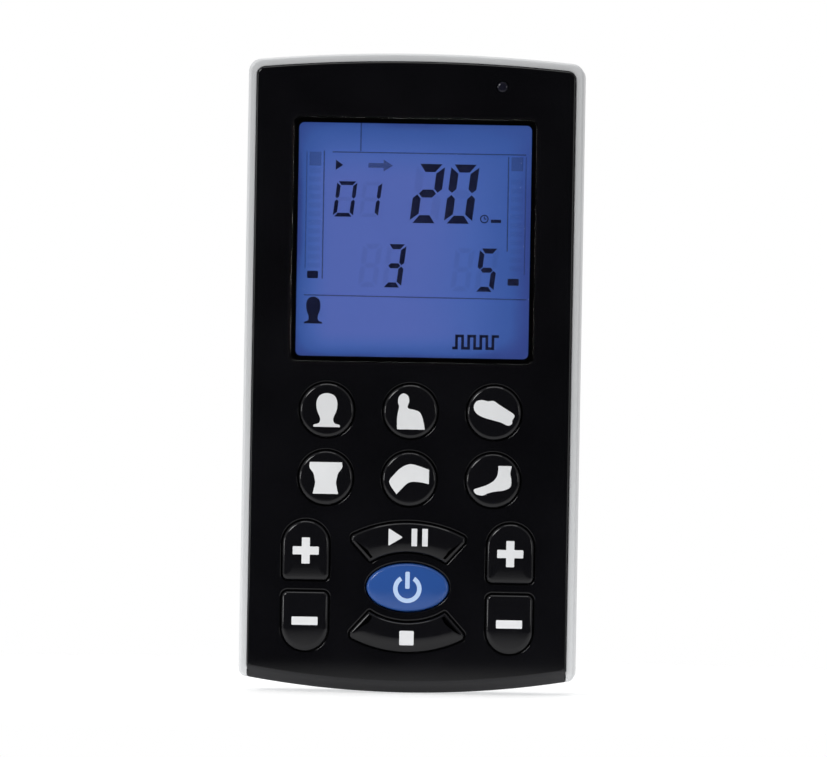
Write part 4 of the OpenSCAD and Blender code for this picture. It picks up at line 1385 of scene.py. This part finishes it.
dress(plastic("ferrite", (0.03, 0.03, 0.033), 0.6, texture=0.5), "transformer_cores")
dress(metal("enamelled_copper", (0.42, 0.17, 0.07), 0.35, (1, 30, 1)), "transformer_windings")
dress(steel, "board_screws")


# ---------------------------------------------------------------- stage, lights and camera

FLOOR_R, FLOOR_FADE = 0.24, 0.07                # the floor fades away between these two radii
FLOOR_GLOW = 0.3                                # light of its own, which keeps the shadow pale
AIM = Vector((0, 0, 0.06))                      # what the lights point at
VIEW_W, VIEW_H = 827, 757                       # proportions of the finished picture


def stage_floor():
    m, t, s = material("floor_white", (0.9, 0.9, 0.9), 0.55, spec=0.2)
    vary_color(t, s, (0.89, 0.89, 0.892), (0.91, 0.91, 0.912), 3)
    vary_rough(t, s, 0.5, 0.6, 8)
    coords = node(t, "ShaderNodeTexCoord")
    reach = node(t, "ShaderNodeVectorMath", operation="LENGTH")
    t.links.new(coords.outputs["Object"], reach.inputs[0])
    fade = span(t, reach.outputs["Value"], 1.0, 0.0, FLOOR_FADE, FLOOR_R)
    t.links.new(fade, s.inputs["Alpha"])
    s.inputs["Emission Color"].default_value = (1, 1, 1, 1)
    s.inputs["Emission Strength"].default_value = FLOOR_GLOW
    bpy.ops.mesh.primitive_circle_add(vertices=96, radius=FLOOR_R, fill_type="NGON", location=(0, 0, -0.0001))
    floor = bpy.context.object
    floor.name = "floor"
    floor.data.materials.append(m)


def area_light(name, power, size, at):
    data = bpy.data.lights.new(name, "AREA")
    data.energy, data.size = power, size
    light = bpy.data.objects.new(name, data)
    bpy.context.scene.collection.objects.link(light)
    light.location = at
    light.rotation_euler = (AIM - Vector(at)).to_track_quat("-Z", "Y").to_euler()


def studio():
    """White backdrop for the camera, in a room that gets dark in front, which the glossy face mirrors."""
    world = bpy.data.worlds.new("studio")
    bpy.context.scene.world = world
    world.use_nodes = True
    t = world.node_tree
    background = t.nodes["Background"]
    coords = node(t, "ShaderNodeTexCoord")
    split = node(t, "ShaderNodeSeparateXYZ")
    t.links.new(coords.outputs["Generated"], split.inputs["Vector"])
    room = span(t, split.outputs["Y"], 0.62, 0.015, -0.35, -0.88, "SMOOTHSTEP")
    seen = node(t, "ShaderNodeLightPath")
    pick = node(t, "ShaderNodeMix")
    t.links.new(seen.outputs["Is Camera Ray"], pick.inputs[0])
    t.links.new(room, pick.inputs[2])
    pick.inputs[3].default_value = 1.0
    t.links.new(pick.outputs[0], background.inputs["Strength"])
    background.inputs["Color"].default_value = (1, 1, 1, 1)
    area_light("key_soft", 4.5, 0.35, (-0.62, -0.85, 0.62))
    area_light("left_soft", 1.6, 0.25, (-0.95, -0.55, 0.12))
    area_light("right_soft", 0.7, 0.3, (0.8, -0.75, 0.15))
    area_light("back_soft", 1.6, 0.6, (0.35, 0.9, 0.7))
    area_light("top_soft", 3.6, 0.7, (0, -0.15, 1.1))


def camera():
    data = bpy.data.cameras.new("camera")
    cam = bpy.data.objects.new("camera", data)
    bpy.context.scene.collection.objects.link(cam)
    bpy.context.scene.camera = cam
    azimuth, elevation, roll = math.radians(1.8), math.radians(0.1), math.radians(1.0)
    distance, height = 2.2, 0.143
    data.sensor_width = 36
    data.lens = data.sensor_width * VIEW_H / VIEW_W * distance / height
    target = Vector((0, 0, BODY_H / 2 * MM - 0.001))
    back = Vector((math.sin(azimuth) * math.cos(elevation), -math.cos(azimuth) * math.cos(elevation),
                   math.sin(elevation)))
    cam.location = target + back * distance
    cam.rotation_mode = "QUATERNION"
    look = (-back).to_track_quat("-Z", "Y")
    cam.rotation_quaternion = look @ Euler((0, 0, roll)).to_quaternion()
    data.clip_end = 20


stage_floor()
studio()
camera()
bpy.context.scene.view_settings.view_transform = "Standard"
